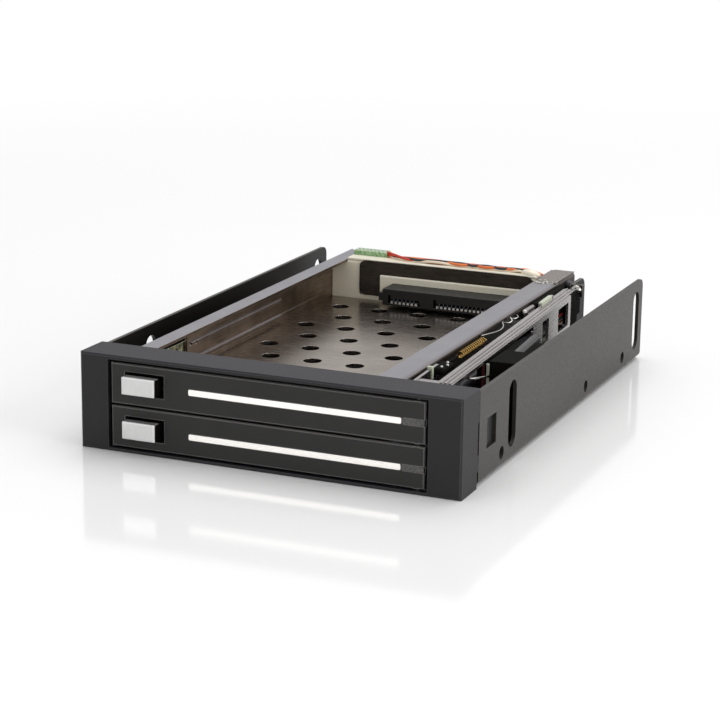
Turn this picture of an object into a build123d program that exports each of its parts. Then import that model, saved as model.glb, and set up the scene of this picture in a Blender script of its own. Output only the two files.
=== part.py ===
from build123d import *
from math import cos, radians, sin
import os

os.makedirs("parts", exist_ok=True)

# Overall size in millimetres: x runs across the front, y to the rear and z up.
# The origin is at mid width and mid depth, level with the bottom of the bezel.
width = 101.6
depth = 147.5
button_proud = 2.3
face_y = (button_proud - depth) / 2

# Bezel and the opening that the doors close
bezel_height = 24.7
bezel_depth = 11.1
bezel_skin = 2.4
bezel_wall = 2.0
bezel_edge = 0.45
reveal_wall = 1.2
hinge_side_reveal = 4.0
opening_left = 7.8 - width / 2
opening_right = width / 2 - 8.6
opening_low = 0.85
opening_high = 23.6

# Folded chassis: a floor with a side plate on each side
plate = 1.0
bend = 1.1
chassis_low = 0.35
chassis_high = 23.9
chassis_front = bezel_depth + 0.3
plate_corner = 2.4
screw_holes = (27.6, 95.1, 129.2)
screw_hole_z = 4.3
screw_hole_d = 3.4
slot_stations = (34.9, depth - 6.1)
slot_low = 3.9
slot_high = 21.0
slot_width = 5.6
window_front = 16.5
window_length = 6.7
window_low = 8.3
window_height = 7.6

# Inner cage: a folded tray with a flange on top of each wall
sheet = 0.8
cage_left = 9.0 - width / 2
cage_right = width / 2 - 20.1
cage_front = 12.2
cage_back = depth - 0.5
cage_top = 24.0
cage_floor = chassis_low + plate
left_flange = 5.5
right_flange = 6.8
right_wall_end = depth - 15.9
flange_cut = 6.0
wall_start = 38.7
bead_proud = 0.4
bead_r = 0.7
bead_levels = (7.15, 13.9, 18.5)
bead_front = 40.3
bead_back = depth - 52.0

# Shelf between the bays, pierced in staggered rows
shelf_top = 12.5
shelf_sheet = 0.7
shelf_back = depth - 15.7
shelf_gap = 0.05
vent_d = 5.0
vent_pitch_x = (cage_right - cage_left) * 0.17
vent_pitch_y = (shelf_back - 35.0) / 8
vent_left = cage_left + 9.1
vent_last_row = shelf_back - 12.3
vent_rows = 8
vents_in_row = 5
tab_length = 8.0
tab_stations = (25.0, 72.0, depth - 35.5)

# The two bays are alike: sizes below are for the lower one, and the upper one is a pitch higher
bay_pitch = 11.35
bays = (("lower", 0.0), ("upper", bay_pitch))

# Doors
door_gap = 0.8
door_gap_top = 0.7
door_gap_low = 0.6
door_split = 0.55
door_face = 0.3
door_skin = 2.0
door_wall = 1.1
door_end_wall = 0.8
door_depth = 8.0
door_edge = 0.25
hinge_inset = 2.2
hinge_depth = 1.7
pin_d = 1.2
running = 0.05
knuckle_r = 1.7
skirt_clear = 9.5
strip_left = opening_left + 22.3
strip_right = opening_right - 6.9
strip_low = 5.55
strip_height = 1.5
strip_sheet = 0.6
strip_proud = 0.1
lens_left = opening_right - 6.4
lens_sheet = 0.85

# Push buttons
button_left = opening_left + 5.0
button_width = 9.1
button_low = 4.35
button_height = 4.5
button_window_left = button_left - 0.4
button_window_width = 10.9
button_window_low = 3.75
button_window_height = 5.8
button_travel = 1.2
button_flange = 0.65
button_flange_sheet = 1.0
button_seat = 0.1
button_web = 7.0
button_spring_r = 1.5
button_post_r = 1.0

# Door latch: a hook plate on each door and a leaf spring on the cage
hook_sheet = 1.0
hook_low = 4.4
hook_high = 9.2
hook_end = 16.6
leaf_sheet = 0.4
leaf_low = 5.6
leaf_high = 8.0
leaf_nose = 15.0
leaf_bite = 0.3
leaf_slope = 1.5
leaf_seat_length = 6.0
rivet_r = 0.5

# Ejector: a crank on each door drives a slide that pulls the drive out
crank_reach = 6.5
crank_angle = 132.5
crank_low = 7.25
crank_height = 3.2
crank_width = 2.8
crank_disc_r = 1.3
crank_pin_r = 0.9
slide_sheet = 0.8
slide_gap = 0.4
slide_tilt = 2.2
slide_front = 17.0
slide_mid = opening_right - 2.65
slide_width = 4.2
slide_length = depth - slide_front - 27.0
slide_wall_start = slide_length - 36.6
slide_wall_height = 9.0
slide_rib = 0.25
slide_tongue_start = slide_length - 18.0
slide_tongue_length = 12.0
slide_lug_inner = cage_right + 0.8
slide_nose_front = 4.4
foot_plate_length = 7.0
foot_back = depth - 16.3
foot_inner = cage_right - 6.2
foot_low = 4.6
foot_height = 4.0
foot_gap = 0.35
guide_tab_front = depth - 49.5
guide_tab_length = 6.0
guide_tab_reach = 5.6
guide_clear = 0.25

# Tension spring of each slide
spring_r = 0.95
spring_wire = 0.5
spring_x = cage_right + 1.75
spring_z = 11.1
spring_front = 46.0
spring_turns = 15
spring_pitch = 1.05
spring_lug = 30.0
spring_tab_inner = 7.8
spring_tab_end = 33.0
spring_tab_low = 8.65
spring_anchor = 65.0
spring_hole_r = 0.7

# Connector wall at the rear
frame_front = depth - 15.5
frame_sheet = 4.5
frame_gap = 0.1
frame_window_left = cage_left + 9.8
frame_window_right = cage_right - 8.1
frame_window_low = 2.45
frame_window_height = 9.45
seat_left = frame_window_left + 7.0
seat_height = 6.6
seat_front = frame_front - 1.0
connector_left = seat_left + 4.2
connector_right = connector_left + 37.8
connector_low = 2.3
connector_height = 4.7
connector_front = seat_front - 8.0
slot_level = 0.32
gasket_sheet = 3.3
bracket_front = frame_front - 0.1
bracket_back = depth - 2.0
bracket_left = cage_right - 7.2
contact_pitch = 1.27
signal_first = connector_left + 2.9
power_first = connector_left + 17.2
board_sheet = 1.6
board_left = cage_left + left_flange + 0.3
board_right = cage_right - 1.7
board_low = 2.6
socket_wall = 0.8
socket_height = 5.0
socket_reach = 6.5
data_socket_width = 10.4
power_socket_width = 22.0
board_high = 24.4
board_ear = 9.5
board_corner_x = cage_right - 13.7
board_corner_z = 20.5

# Lighting lead: three insulated wires from the board to the lamps behind the bezel
wire_d = 0.9
wire_pitch = 1.15
lead_top = 24.1
lead_under = 22.0
lead_front_lane = frame_front + frame_sheet + 0.7
lead_x = cage_right + 1.5
lead_low = 12.75
lead_turn = 44.0
lead_stack = 1.05


def back(distance):
    """Give the y of a station that far behind the face of the bezel."""
    return face_y + distance


def across(station):
    """Give an upright plane across the cage, drawn in x and z, whose normal points to the front."""
    return Plane(origin=(0, back(station), 0), x_dir=(1, 0, 0), z_dir=(0, -1, 0))


def span(low_x, high_x, low_y, high_y, mode=Mode.ADD):
    """Draw a rectangle between two corners of the current sketch."""
    with Locations(((low_x + high_x) / 2, (low_y + high_y) / 2)):
        Rectangle(high_x - low_x, high_y - low_y, mode=mode)


def keep(part, label):
    """Label a finished piece and write it to its own file."""
    part.label = label
    export_step(part, f"parts/{label}.step")


# Places worked out from the sizes above
door_left = opening_left + door_gap
door_right = opening_right - door_gap
door_height = (opening_high - opening_low - door_gap_top - door_split - door_gap_low) / 2
door_lows = {"lower": opening_low + door_gap_low, "upper": opening_high - door_gap_top - door_height}
hinge_x = door_right - hinge_inset
hinge_station = door_face + hinge_depth
skirt_right = hinge_x - skirt_clear
crank_top = crank_low + crank_height
slide_low = crank_top + slide_gap
slide_top = slide_low + slide_sheet
crank_pin_x = hinge_x + crank_reach * cos(radians(crank_angle))
crank_pin_station = hinge_station + crank_reach * sin(radians(crank_angle))
inner_left = cage_left + sheet
inner_right = cage_right - sheet
frame_back = frame_front + frame_sheet
board_back = frame_back + board_sheet
cage_floor_top = cage_floor + sheet


def slide_plan(level):
    """Give a level plane in line with the slides, drawn across and along them from their front end."""
    turn = radians(slide_tilt)
    return Plane(origin=(slide_mid, back(slide_front), level), x_dir=(cos(turn), sin(turn), 0))


def slide_section(along, lift):
    """Give an upright plane across a slide, that far behind its front end."""
    turn = radians(slide_tilt)
    origin = (slide_mid - along * sin(turn), back(slide_front) + along * cos(turn), lift)
    return Plane(origin=origin, x_dir=(cos(turn), sin(turn), 0), z_dir=(sin(turn), -cos(turn), 0))


def slide_point(x, station):
    """Give a point of the slides' own plan from its x and its station."""
    local = slide_plan(0).to_local_coords(Vector(x, back(station), 0))
    return (local.X, local.Y)


# Chassis: one folded sheet, with the bay's screw holes and slots through both side plates
with BuildPart() as chassis:
    side_mid = (width - plate) / 2
    floor_mid = chassis_low + plate / 2
    with BuildSketch(across(chassis_front)):
        with BuildLine():
            FilletPolyline(
                (-side_mid, chassis_high), (-side_mid, floor_mid), (side_mid, floor_mid), (side_mid, chassis_high),
                radius=bend,
            )
        trace(line_width=plate)
    extrude(amount=chassis_front - depth)
    rear_corners = chassis.edges().filter_by(Axis.X).group_by(Axis.Y)[-1].group_by(Axis.Z)[-1]
    fillet(rear_corners, radius=plate_corner)
    with BuildSketch(Plane.YZ.offset(-width / 2)):
        with Locations(*[(back(station), screw_hole_z) for station in screw_holes]):
            Circle(screw_hole_d / 2)
        with Locations(*[(back(station), (slot_low + slot_high) / 2) for station in slot_stations]):
            SlotOverall(slot_high - slot_low, slot_width, rotation=90)
        span(back(window_front), back(window_front + window_length), window_low, window_low + window_height)
    extrude(amount=width, mode=Mode.SUBTRACT)

# Bezel: a moulded frame with hollow stiles and two snap arms that catch in the chassis windows
with BuildPart() as bezel:
    with BuildSketch(across(0)):
        span(-width / 2, width / 2, 0, bezel_height)
    extrude(amount=-bezel_depth)
    chamfer(bezel.faces().sort_by(Axis.Y)[0].edges(), length=bezel_edge)
    with BuildSketch(across(0)):
        span(opening_left, opening_right, opening_low, opening_high)
    extrude(amount=-bezel_depth, mode=Mode.SUBTRACT)
    rail = bezel_height - opening_high
    stile_hollows = (
        (-width / 2 + bezel_wall, opening_left - reveal_wall, bezel_skin),
        (opening_right + reveal_wall, width / 2 - bezel_wall, bezel_skin),
        (opening_right - door_gap, width / 2 - bezel_wall, hinge_side_reveal),
    )
    for low_x, high_x, start in stile_hollows:
        with BuildSketch(across(start)):
            span(low_x, high_x, opening_low, bezel_height - rail)
        extrude(amount=start - bezel_depth, mode=Mode.SUBTRACT)
    arm_outer = width / 2 - plate
    arm_root = bezel_depth - 2.5
    arm_end = window_front + window_length + 1.2
    barb_front = window_front + 0.4
    barb_back = window_front + window_length - 0.4
    for side in (-1, 1):
        with BuildSketch(Plane.XY.offset(window_low - 1.6)):
            with BuildLine():
                Polyline(
                    (side * (arm_outer - 1.2), back(arm_root)), (side * arm_outer, back(arm_root)),
                    (side * arm_outer, back(arm_end)), (side * (arm_outer - 0.6), back(arm_end + 0.6)),
                    (side * (arm_outer - 1.2), back(arm_end)), close=True,
                )
            make_face()
        extrude(amount=window_height + 3.2)
        with BuildSketch(Plane.XY.offset(window_low + 0.3)):
            with BuildLine():
                Polyline(
                    (side * (arm_outer - 0.4), back(barb_front)), (side * (arm_outer + 0.7), back(barb_front)),
                    (side * (arm_outer - 0.4), back(barb_back)), close=True,
                )
            make_face()
        extrude(amount=window_height - 0.6)
    # Notches in the rear edge of each side, as deep as the side plate is thick
    with BuildSketch(across(bezel_depth - 0.7)):
        for side in (-1, 1):
            for low, high in ((-0.1, 4.15), (8.2, 16.4)):
                notch_ends = sorted((side * arm_outer, side * (width / 2 + 0.1)))
                span(notch_ends[0], notch_ends[1], low, high)
    extrude(amount=-1.0, mode=Mode.SUBTRACT)
    with Locations((hinge_x, back(hinge_station), (opening_low + opening_high) / 2)):
        Cylinder(pin_d / 2 + 0.02, opening_high - opening_low + 1.0, mode=Mode.SUBTRACT)

# Inner cage: the tray that both drives slide into
with BuildPart() as inner_cage:
    half = sheet / 2
    with BuildSketch(across(cage_front)):
        with BuildLine():
            FilletPolyline(
                (cage_left + left_flange, cage_top - half), (cage_left + half, cage_top - half),
                (cage_left + half, cage_floor + half), (cage_right - half, cage_floor + half),
                (cage_right - half, cage_top - half), (cage_right - right_flange, cage_top - half),
                radius=sheet,
            )
        trace(line_width=sheet)
    extrude(amount=cage_front - cage_back)
    for level in bead_levels:
        with BuildSketch(across(bead_front)):
            for wall, inward in ((inner_left, 1), (inner_right, -1)):
                with Locations((wall + inward * (bead_proud - bead_r), level)):
                    Circle(bead_r)
                outside = sorted((wall - inward * sheet / 2, wall - inward * 2))
                span(outside[0], outside[1], level - 1, level + 1, mode=Mode.SUBTRACT)
        extrude(amount=bead_front - bead_back)
    # The right wall stops short of the connectors, and the left flange is cut back at an angle
    with BuildSketch(Plane.XY.offset(cage_floor_top + 0.4)):
        span(cage_right - right_flange - 1, cage_right + 1, back(right_wall_end), back(cage_back + 1))
        with BuildLine():
            Polyline(
                (cage_left + left_flange + 1, back(cage_back - flange_cut - 1)),
                (cage_left + sheet, back(cage_back)), (cage_left + left_flange + 1, back(cage_back + 1)), close=True,
            )
        make_face()
    extrude(amount=cage_top, mode=Mode.SUBTRACT)
    # Openings in the left wall for the latches, each side of the strip that carries the shelf
    for low, high in ((cage_floor_top + 0.9, shelf_top - 1.6), (shelf_top + 0.9, cage_top - sheet - 0.8)):
        with BuildSketch(Plane.YZ.offset(cage_left - 1)):
            span(back(cage_front - 1), back(wall_start), low, high)
        extrude(amount=sheet + 2, mode=Mode.SUBTRACT)
    # Slots that take the tabs of the shelf
    shelf_mid = shelf_top - (shelf_sheet - shelf_gap) / 2
    for station in tab_stations:
        with Locations(((cage_left + cage_right) / 2, back(station), shelf_mid)):
            Box(cage_right - cage_left + 2, tab_length + 0.3, shelf_sheet + shelf_gap, mode=Mode.SUBTRACT)
    for name, lift in bays:
        # A notch in the end of the right wall lets the ejector foot draw forward
        foot_travel = 2 * crank_reach * sin(radians(crank_angle))
        notch_front = foot_back - slide_sheet - foot_travel - 0.6
        with BuildSketch(Plane.YZ.offset(inner_right - 1)):
            span(back(notch_front), back(right_wall_end + 1), lift + foot_low - 0.4, lift + foot_low + foot_height + 0.4)
            with Locations((back(spring_anchor), lift + spring_z)):
                Circle(spring_hole_r)
        extrude(amount=sheet + 2, mode=Mode.SUBTRACT)
        # A tab lanced out of the wall carries the slide from below
        tab_top = lift + slide_low - guide_clear
        with BuildSketch(Plane.YZ.offset(inner_right - 1)):
            span(back(guide_tab_front), back(guide_tab_front + guide_tab_length), tab_top - guide_tab_reach, tab_top)
        extrude(amount=sheet + 2, mode=Mode.SUBTRACT)
        with BuildSketch(Plane.YZ.offset(inner_right)):
            span(back(guide_tab_front), back(guide_tab_front + guide_tab_length), tab_top - sheet, tab_top)
        extrude(amount=sheet + guide_tab_reach)
        # Rivet holes of the latch leaf
        with BuildSketch(Plane.YZ.offset(cage_left - 1)):
            for station in (wall_start + 1.6, wall_start + 4.4):
                with Locations((back(station), lift + (leaf_low + leaf_high) / 2)):
                    Circle(rivet_r + running)
        extrude(amount=sheet + 2, mode=Mode.SUBTRACT)

# Shelf: a flat sheet with staggered round holes, hung from the walls by its tabs
with BuildPart() as drive_shelf:
    with BuildSketch(Plane.XY.offset(shelf_top - shelf_sheet)):
        span(inner_left + shelf_gap, inner_right - shelf_gap, back(cage_front + 0.4), back(shelf_back))
        for station in tab_stations:
            with Locations(((cage_left + cage_right) / 2, back(station))):
                Rectangle(cage_right - cage_left, tab_length)
        for row in range(vent_rows):
            shift = vent_pitch_x / 2 if row % 2 else 0
            for place in range(vents_in_row):
                with Locations((vent_left + shift + place * vent_pitch_x, back(vent_last_row - row * vent_pitch_y))):
                    Circle(vent_d / 2, mode=Mode.SUBTRACT)
    extrude(amount=shelf_sheet)


def make_door(name, lift):
    """Mould a door: a skin with a skirt behind it, hinge knuckles, a button window and a lamp window."""
    low = door_lows[name]
    high = low + door_height
    with BuildPart() as door:
        with BuildSketch(across(door_face)):
            span(door_left, door_right, low, high)
        extrude(amount=-door_skin)
        chamfer(door.faces().sort_by(Axis.Y)[0].edges(), length=door_edge)
        with BuildSketch(across(door_face + door_skin)):
            span(door_left, skirt_right, low, high)
            span(
                door_left + door_end_wall, skirt_right - door_wall,
                low + door_wall, high - door_wall, mode=Mode.SUBTRACT,
            )
        extrude(amount=door_skin - door_depth)
        with BuildSketch(across(door_face + button_web)):
            span(button_window_left - 1.8, button_window_left + button_window_width + 1.8, low, high)
        extrude(amount=button_web - door_depth)
        with Locations((hinge_x, back(hinge_station), (low + high) / 2)):
            Cylinder(knuckle_r, high - low)
        with BuildSketch(across(door_face + 1)):
            span(
                button_window_left, button_window_left + button_window_width,
                lift + button_window_low, lift + button_window_low + button_window_height,
            )
        extrude(amount=door_skin, both=True, mode=Mode.SUBTRACT)
        with BuildSketch(across(door_face)):
            span(strip_left, strip_right, lift + strip_low, lift + strip_low + strip_height)
        extrude(amount=-strip_sheet, mode=Mode.SUBTRACT)
        with BuildSketch(across(door_face)):
            span(lens_left, door_right, lift + strip_low, lift + strip_low + strip_height)
        extrude(amount=-lens_sheet, mode=Mode.SUBTRACT)
        # A pocket round the hinge takes the crank
        with BuildSketch(Plane.XY.offset(lift + crank_low - 0.1)):
            with Locations((hinge_x, back(hinge_station))):
                Circle(crank_disc_r + 0.1)
            with BuildLine():
                Line((hinge_x, back(hinge_station)), (crank_pin_x, back(crank_pin_station)))
            trace(line_width=crank_disc_r * 2 + 0.2)
            span(hinge_x - knuckle_r - 0.2, hinge_x + knuckle_r + 0.2, back(hinge_station), back(hinge_station + 4))
        extrude(amount=crank_height + 0.2, mode=Mode.SUBTRACT)
        with Locations((hinge_x, back(hinge_station), (low + high) / 2)):
            Cylinder(pin_d / 2 + running, high - low + 1, mode=Mode.SUBTRACT)
    return door.part


def make_strip(lift):
    """Make the bright inlay of a door."""
    with BuildPart() as strip:
        with BuildSketch(across(door_face - strip_proud)):
            span(strip_left, strip_right, lift + strip_low, lift + strip_low + strip_height)
        extrude(amount=-(strip_sheet + strip_proud))
        fillet(strip.edges().filter_by(Axis.Y), radius=strip_height * 0.25)
    return strip.part


def make_lens(lift):
    """Make the clear lamp window at the hinge end of a door."""
    with BuildPart() as lens:
        with BuildSketch(across(door_face)):
            span(lens_left, door_right - door_edge, lift + strip_low, lift + strip_low + strip_height)
        extrude(amount=-lens_sheet)
    return lens.part


def make_button(lift):
    """Mould a push button: a bright cap, a stem through the door and a flange that keeps it in."""
    mid_x = button_left + button_width / 2
    mid_z = lift + button_low + button_height / 2
    flange_front = door_face + door_skin + button_seat
    with BuildPart() as button:
        with BuildSketch(across(-button_proud)):
            with Locations((mid_x, mid_z)):
                Rectangle(button_width, button_height)
        extrude(amount=-(button_proud + flange_front))
        fillet(button.edges().filter_by(Axis.Y), radius=0.6)
        fillet(button.faces().sort_by(Axis.Y)[0].edges(), radius=0.35)
        with BuildSketch(across(flange_front)):
            span(
                button_window_left - button_flange, button_window_left + button_window_width + button_flange,
                lift + button_window_low - button_flange,
                lift + button_window_low + button_window_height + button_flange,
            )
        extrude(amount=-button_flange_sheet)
        with BuildSketch(across(flange_front + button_flange_sheet)):
            with Locations((mid_x, mid_z)):
                Circle(button_post_r)
        extrude(amount=-(door_face + button_web - button_travel - 0.3 - flange_front - button_flange_sheet))
    return button.part


def make_button_spring(lift):
    """Make the return spring between a button's flange and the web of its door."""
    front = door_face + door_skin + button_seat + button_flange_sheet
    with BuildPart() as spring:
        with BuildSketch(across(front)):
            with Locations((button_left + button_width / 2, lift + button_low + button_height / 2)):
                Circle(button_spring_r)
                Circle(button_post_r + 0.1, mode=Mode.SUBTRACT)
        extrude(amount=-(door_face + button_web - front))
    return spring.part


def make_hook(lift):
    """Make a door's hook: a steel plate on the door's end wall, with a window for the leaf spring's nose."""
    with BuildPart() as hook:
        with BuildSketch(Plane.YZ.offset(door_left + door_end_wall)):
            with BuildLine():
                Polyline(
                    (back(door_face + door_skin), lift + hook_low), (back(hook_end - 1.5), lift + hook_low),
                    (back(hook_end), lift + hook_low + 1.2), (back(hook_end), lift + hook_high - 1.2),
                    (back(hook_end - 1.5), lift + hook_high), (back(door_face + door_skin), lift + hook_high),
                    close=True,
                )
            make_face()
            span(
                back(leaf_nose - 1.0), back(leaf_nose + 0.8),
                lift + leaf_low - 0.35, lift + leaf_high + 0.35, mode=Mode.SUBTRACT,
            )
        extrude(amount=hook_sheet)
    return hook.part


def make_leaf(lift):
    """Bend a latch leaf: a strip riveted outside the left wall, whose nose reaches into the hook's window."""
    seat_x = cage_left - leaf_sheet / 2
    nose_x = door_left + door_end_wall + leaf_bite - leaf_sheet / 2
    with BuildPart() as leaf:
        with BuildSketch(Plane.XY.offset(lift + leaf_low)):
            with BuildLine():
                FilletPolyline(
                    (seat_x, back(wall_start + leaf_seat_length)), (seat_x, back(wall_start - 1)),
                    (seat_x - 0.5, back(leaf_nose + leaf_slope)), (nose_x, back(leaf_nose)),
                    (seat_x - 0.7, back(leaf_nose - 2.3)), radius=0.3,
                )
            trace(line_width=leaf_sheet)
        extrude(amount=leaf_high - leaf_low)
        with BuildSketch(Plane.YZ.offset(cage_left - 1)):
            for station in (wall_start + 1.6, wall_start + 4.4):
                with Locations((back(station), lift + (leaf_low + leaf_high) / 2)):
                    Circle(rivet_r + running)
        extrude(amount=1.5, mode=Mode.SUBTRACT)
    return leaf.part


def make_crank(lift):
    """Cast a door crank: a disc round the hinge pin, an arm with a drive pin and a pad against the door."""
    hinge = (hinge_x, back(hinge_station))
    pin = (crank_pin_x, back(crank_pin_station))
    pad_front = door_face + door_skin
    with BuildPart() as crank:
        with BuildSketch(Plane.XY.offset(lift + crank_low)):
            with Locations(hinge):
                Circle(crank_disc_r)
            with BuildLine():
                Line(hinge, pin)
            trace(line_width=crank_disc_r * 2)
            with Locations(pin):
                Circle(crank_width / 2)
            span(skirt_right + 3.4, hinge_x - knuckle_r + 0.3, back(pad_front), back(pad_front + 1.5))
        extrude(amount=crank_height)
        with BuildSketch(Plane.XY.offset(lift + crank_low)):
            with Locations(hinge):
                Circle(pin_d / 2 + running)
        extrude(amount=crank_height, mode=Mode.SUBTRACT)
        with BuildSketch(Plane.XY.offset(lift + crank_top)):
            with Locations(pin):
                Circle(crank_pin_r)
        extrude(amount=slide_gap + slide_sheet + 0.2)
    return crank.part


def make_slide(lift):
    """Fold an ejector slide: a ribbed strip, a slotted lug and a spring tab at the front, a windowed wall at the rear."""
    strip_half = slide_width / 2
    wall_low = slide_top - slide_wall_height
    with BuildPart() as slide:
        with BuildSketch(slide_section(0, lift)):
            span(-strip_half, strip_half, slide_low, slide_top)
            for rib in (-0.45, 0.1, 0.62):
                span(rib * strip_half - 0.3, rib * strip_half + 0.3, slide_top, slide_top + slide_rib)
        extrude(amount=-slide_length)
        with BuildSketch(slide_section(slide_wall_start, lift)):
            span(strip_half - slide_sheet, strip_half, wall_low, slide_top)
        extrude(amount=slide_wall_start - slide_length)
        # Lug: its cross slot takes the crank pin
        slot_reach = crank_reach * (1 + cos(radians(crank_angle)))
        with BuildSketch(slide_plan(lift + slide_low)):
            with BuildLine():
                Polyline(
                    slide_point(crank_pin_x - 4.5, slide_nose_front), slide_point(crank_pin_x + 0.7, slide_nose_front),
                    slide_point(crank_pin_x + 1.8, slide_nose_front + 1.4),
                    slide_point(crank_pin_x + 1.8, slide_front), slide_point(slide_mid, slide_front),
                    slide_point(slide_mid, slide_front + 2.0), slide_point(slide_lug_inner, slide_front + 2.0),
                    slide_point(slide_lug_inner, cage_front - 0.8),
                    slide_point(crank_pin_x - 4.5, cage_front - 1.8), close=True,
                )
            make_face()
            with Locations(slide_point(crank_pin_x - slot_reach / 2, crank_pin_station)):
                SlotOverall(
                    slot_reach + 2 * (crank_pin_r + foot_gap) + 0.3,
                    2 * (crank_pin_r + foot_gap), mode=Mode.SUBTRACT,
                )
        extrude(amount=slide_sheet)
        # Upright tab beside the cage's wall, with the hole of the tension spring
        with BuildSketch(slide_section(cage_front + 1.8 - slide_front, lift)):
            span(-spring_tab_inner, slide_sheet - spring_tab_inner, spring_tab_low, slide_top + slide_rib)
        extrude(amount=cage_front + 1.8 - spring_tab_end)
        with BuildSketch(Plane.YZ.offset(cage_right)):
            with Locations((back(spring_lug), lift + spring_z)):
                Circle(spring_wire / 2 + 0.1)
        extrude(amount=3.0, mode=Mode.SUBTRACT)
        # Windows in the wall, and the tongue that stands up beside them
        with BuildSketch(slide_section(slide_tongue_start, lift)):
            span(-strip_half, -strip_half + slide_sheet, slide_top, slide_top + 1.0)
        extrude(amount=-slide_tongue_length)
        for start, length in ((slide_wall_start + 8.7, 6.0), (slide_wall_start + 24.1, 10.1)):
            with BuildSketch(slide_section(start, lift)):
                span(strip_half - slide_sheet - 0.5, strip_half + 0.5, wall_low + 0.9, slide_low - 0.75)
            extrude(amount=-length, mode=Mode.SUBTRACT)
    return slide.part


def make_foot(lift):
    """Mould an ejector foot: it carries on the slide's wall and turns in behind the drive."""
    strip_half = slide_width / 2
    wall_low = slide_top - slide_wall_height
    with BuildPart() as foot:
        with BuildSketch(slide_section(slide_length, lift)):
            span(strip_half - slide_sheet, strip_half, wall_low, slide_top)
        extrude(amount=-foot_plate_length)
        # A tongue inside the wall holds the foot to the slide
        with BuildSketch(slide_section(slide_length - 2.0, lift)):
            span(strip_half - 2 * slide_sheet, strip_half - slide_sheet, wall_low + 0.9, slide_low - 0.3)
        extrude(amount=-4.0)
        plate_end = slide_section(slide_length + foot_plate_length, 0).origin
        outer_x = plate_end.X + strip_half * cos(radians(slide_tilt))
        outer_y = plate_end.Y + strip_half * sin(radians(slide_tilt))
        with BuildSketch(Plane.XY.offset(lift + foot_low)):
            with BuildLine():
                FilletPolyline(
                    (outer_x - slide_sheet / 2 + 0.12, outer_y - 3.0),
                    (outer_x - slide_sheet / 2, back(foot_back - slide_sheet / 2)),
                    (foot_inner, back(foot_back - slide_sheet / 2)), radius=1.0,
                )
            trace(line_width=slide_sheet)
        extrude(amount=foot_height)
    return foot.part


def make_tension_spring(lift):
    """Make a slide's tension spring: a grooved roller for its turns, one hook in the tab and one in the wall."""
    level = lift + spring_z
    coil_end = spring_front + spring_turns * spring_pitch
    tab = slide_section(spring_lug - slide_front, 0).origin
    tab_x = tab.X - spring_tab_inner
    with BuildPart() as spring:
        for turn in range(spring_turns):
            start = spring_front + turn * spring_pitch
            with BuildSketch(across(start)):
                with Locations((spring_x, level)):
                    RegularPolygon(spring_r, 8)
            extrude(amount=-spring_pitch * 0.7)
            with BuildSketch(across(start + spring_pitch * 0.7)):
                with Locations((spring_x, level)):
                    RegularPolygon(spring_r - spring_wire / 2, 8)
            extrude(amount=-spring_pitch * 0.3)
        with BuildLine() as front_hook:
            FilletPolyline(
                (spring_x, back(spring_front + 1), level), (tab_x + slide_sheet + 0.6, back(spring_lug), level),
                (tab_x + 0.1, back(spring_lug), level), radius=0.5,
            )
        with BuildSketch(Plane(origin=front_hook.line @ 0, z_dir=front_hook.line % 0)):
            RegularPolygon(spring_wire / 2, 6)
        sweep(path=front_hook.line)
        with BuildLine() as rear_hook:
            FilletPolyline(
                (spring_x, back(coil_end - 1), level), (spring_x - 0.6, back(spring_anchor), level),
                (inner_right - 0.3, back(spring_anchor), level), radius=0.6,
            )
        with BuildSketch(Plane(origin=rear_hook.line @ 0, z_dir=rear_hook.line % 0)):
            RegularPolygon(spring_wire / 2, 6)
        sweep(path=rear_hook.line)
    return spring.part


def make_seat(lift):
    """Mould the pale seat that carries a drive connector in the frame's window."""
    low = lift + frame_window_low
    with BuildPart() as seat:
        with BuildSketch(across(seat_front)):
            span(seat_left, frame_window_right - frame_gap, low, low + seat_height)
        extrude(amount=seat_front - frame_back)
        chamfer(seat.faces().sort_by(Axis.Y)[0].edges().filter_by(Axis.X), length=0.3)
    return seat.part


def make_connector(lift):
    """Mould a drive connector: a keyed body with a data slot and a power slot in its front."""
    low = lift + connector_low
    slot_mid = low + connector_height * slot_level
    with BuildPart() as connector:
        with BuildSketch(across(connector_front)):
            span(connector_left, connector_right, low, low + connector_height)
        extrude(amount=connector_front - seat_front)
        with BuildSketch(across(connector_front)):
            span(connector_left - 1.2, connector_left, low + 1.2, low + connector_height - 1.2)
            span(connector_right, connector_right + 1.2, low + 1.2, low + connector_height - 1.2)
        extrude(amount=connector_front - seat_front)
        for first, count in ((signal_first, 7), (power_first, 15)):
            left = first - contact_pitch
            right = first + count * contact_pitch
            with BuildSketch(across(connector_front)):
                span(left, right, slot_mid - 1.0, slot_mid + 0.6)
                span(left, left + 1.0, slot_mid - 1.0, slot_mid + 1.5)
            extrude(amount=-1.9, mode=Mode.SUBTRACT)
    return connector.part


def make_contacts(lift):
    """Stamp the spring contacts that lie in the slots of a drive connector."""
    floor = lift + connector_low + connector_height * slot_level - 1.0
    with BuildPart() as contacts:
        for first, count in ((signal_first, 7), (power_first, 15)):
            for place in range(count):
                with BuildSketch(Plane.YZ.offset(first + place * contact_pitch - 0.3)):
                    with BuildLine():
                        Polyline(
                            (back(connector_front + 0.3), floor), (back(connector_front + 1.9), floor),
                            (back(connector_front + 1.9), floor + 0.3), (back(connector_front + 0.8), floor + 0.65),
                            close=True,
                        )
                    make_face()
                extrude(amount=0.6)
    return contacts.part


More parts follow.
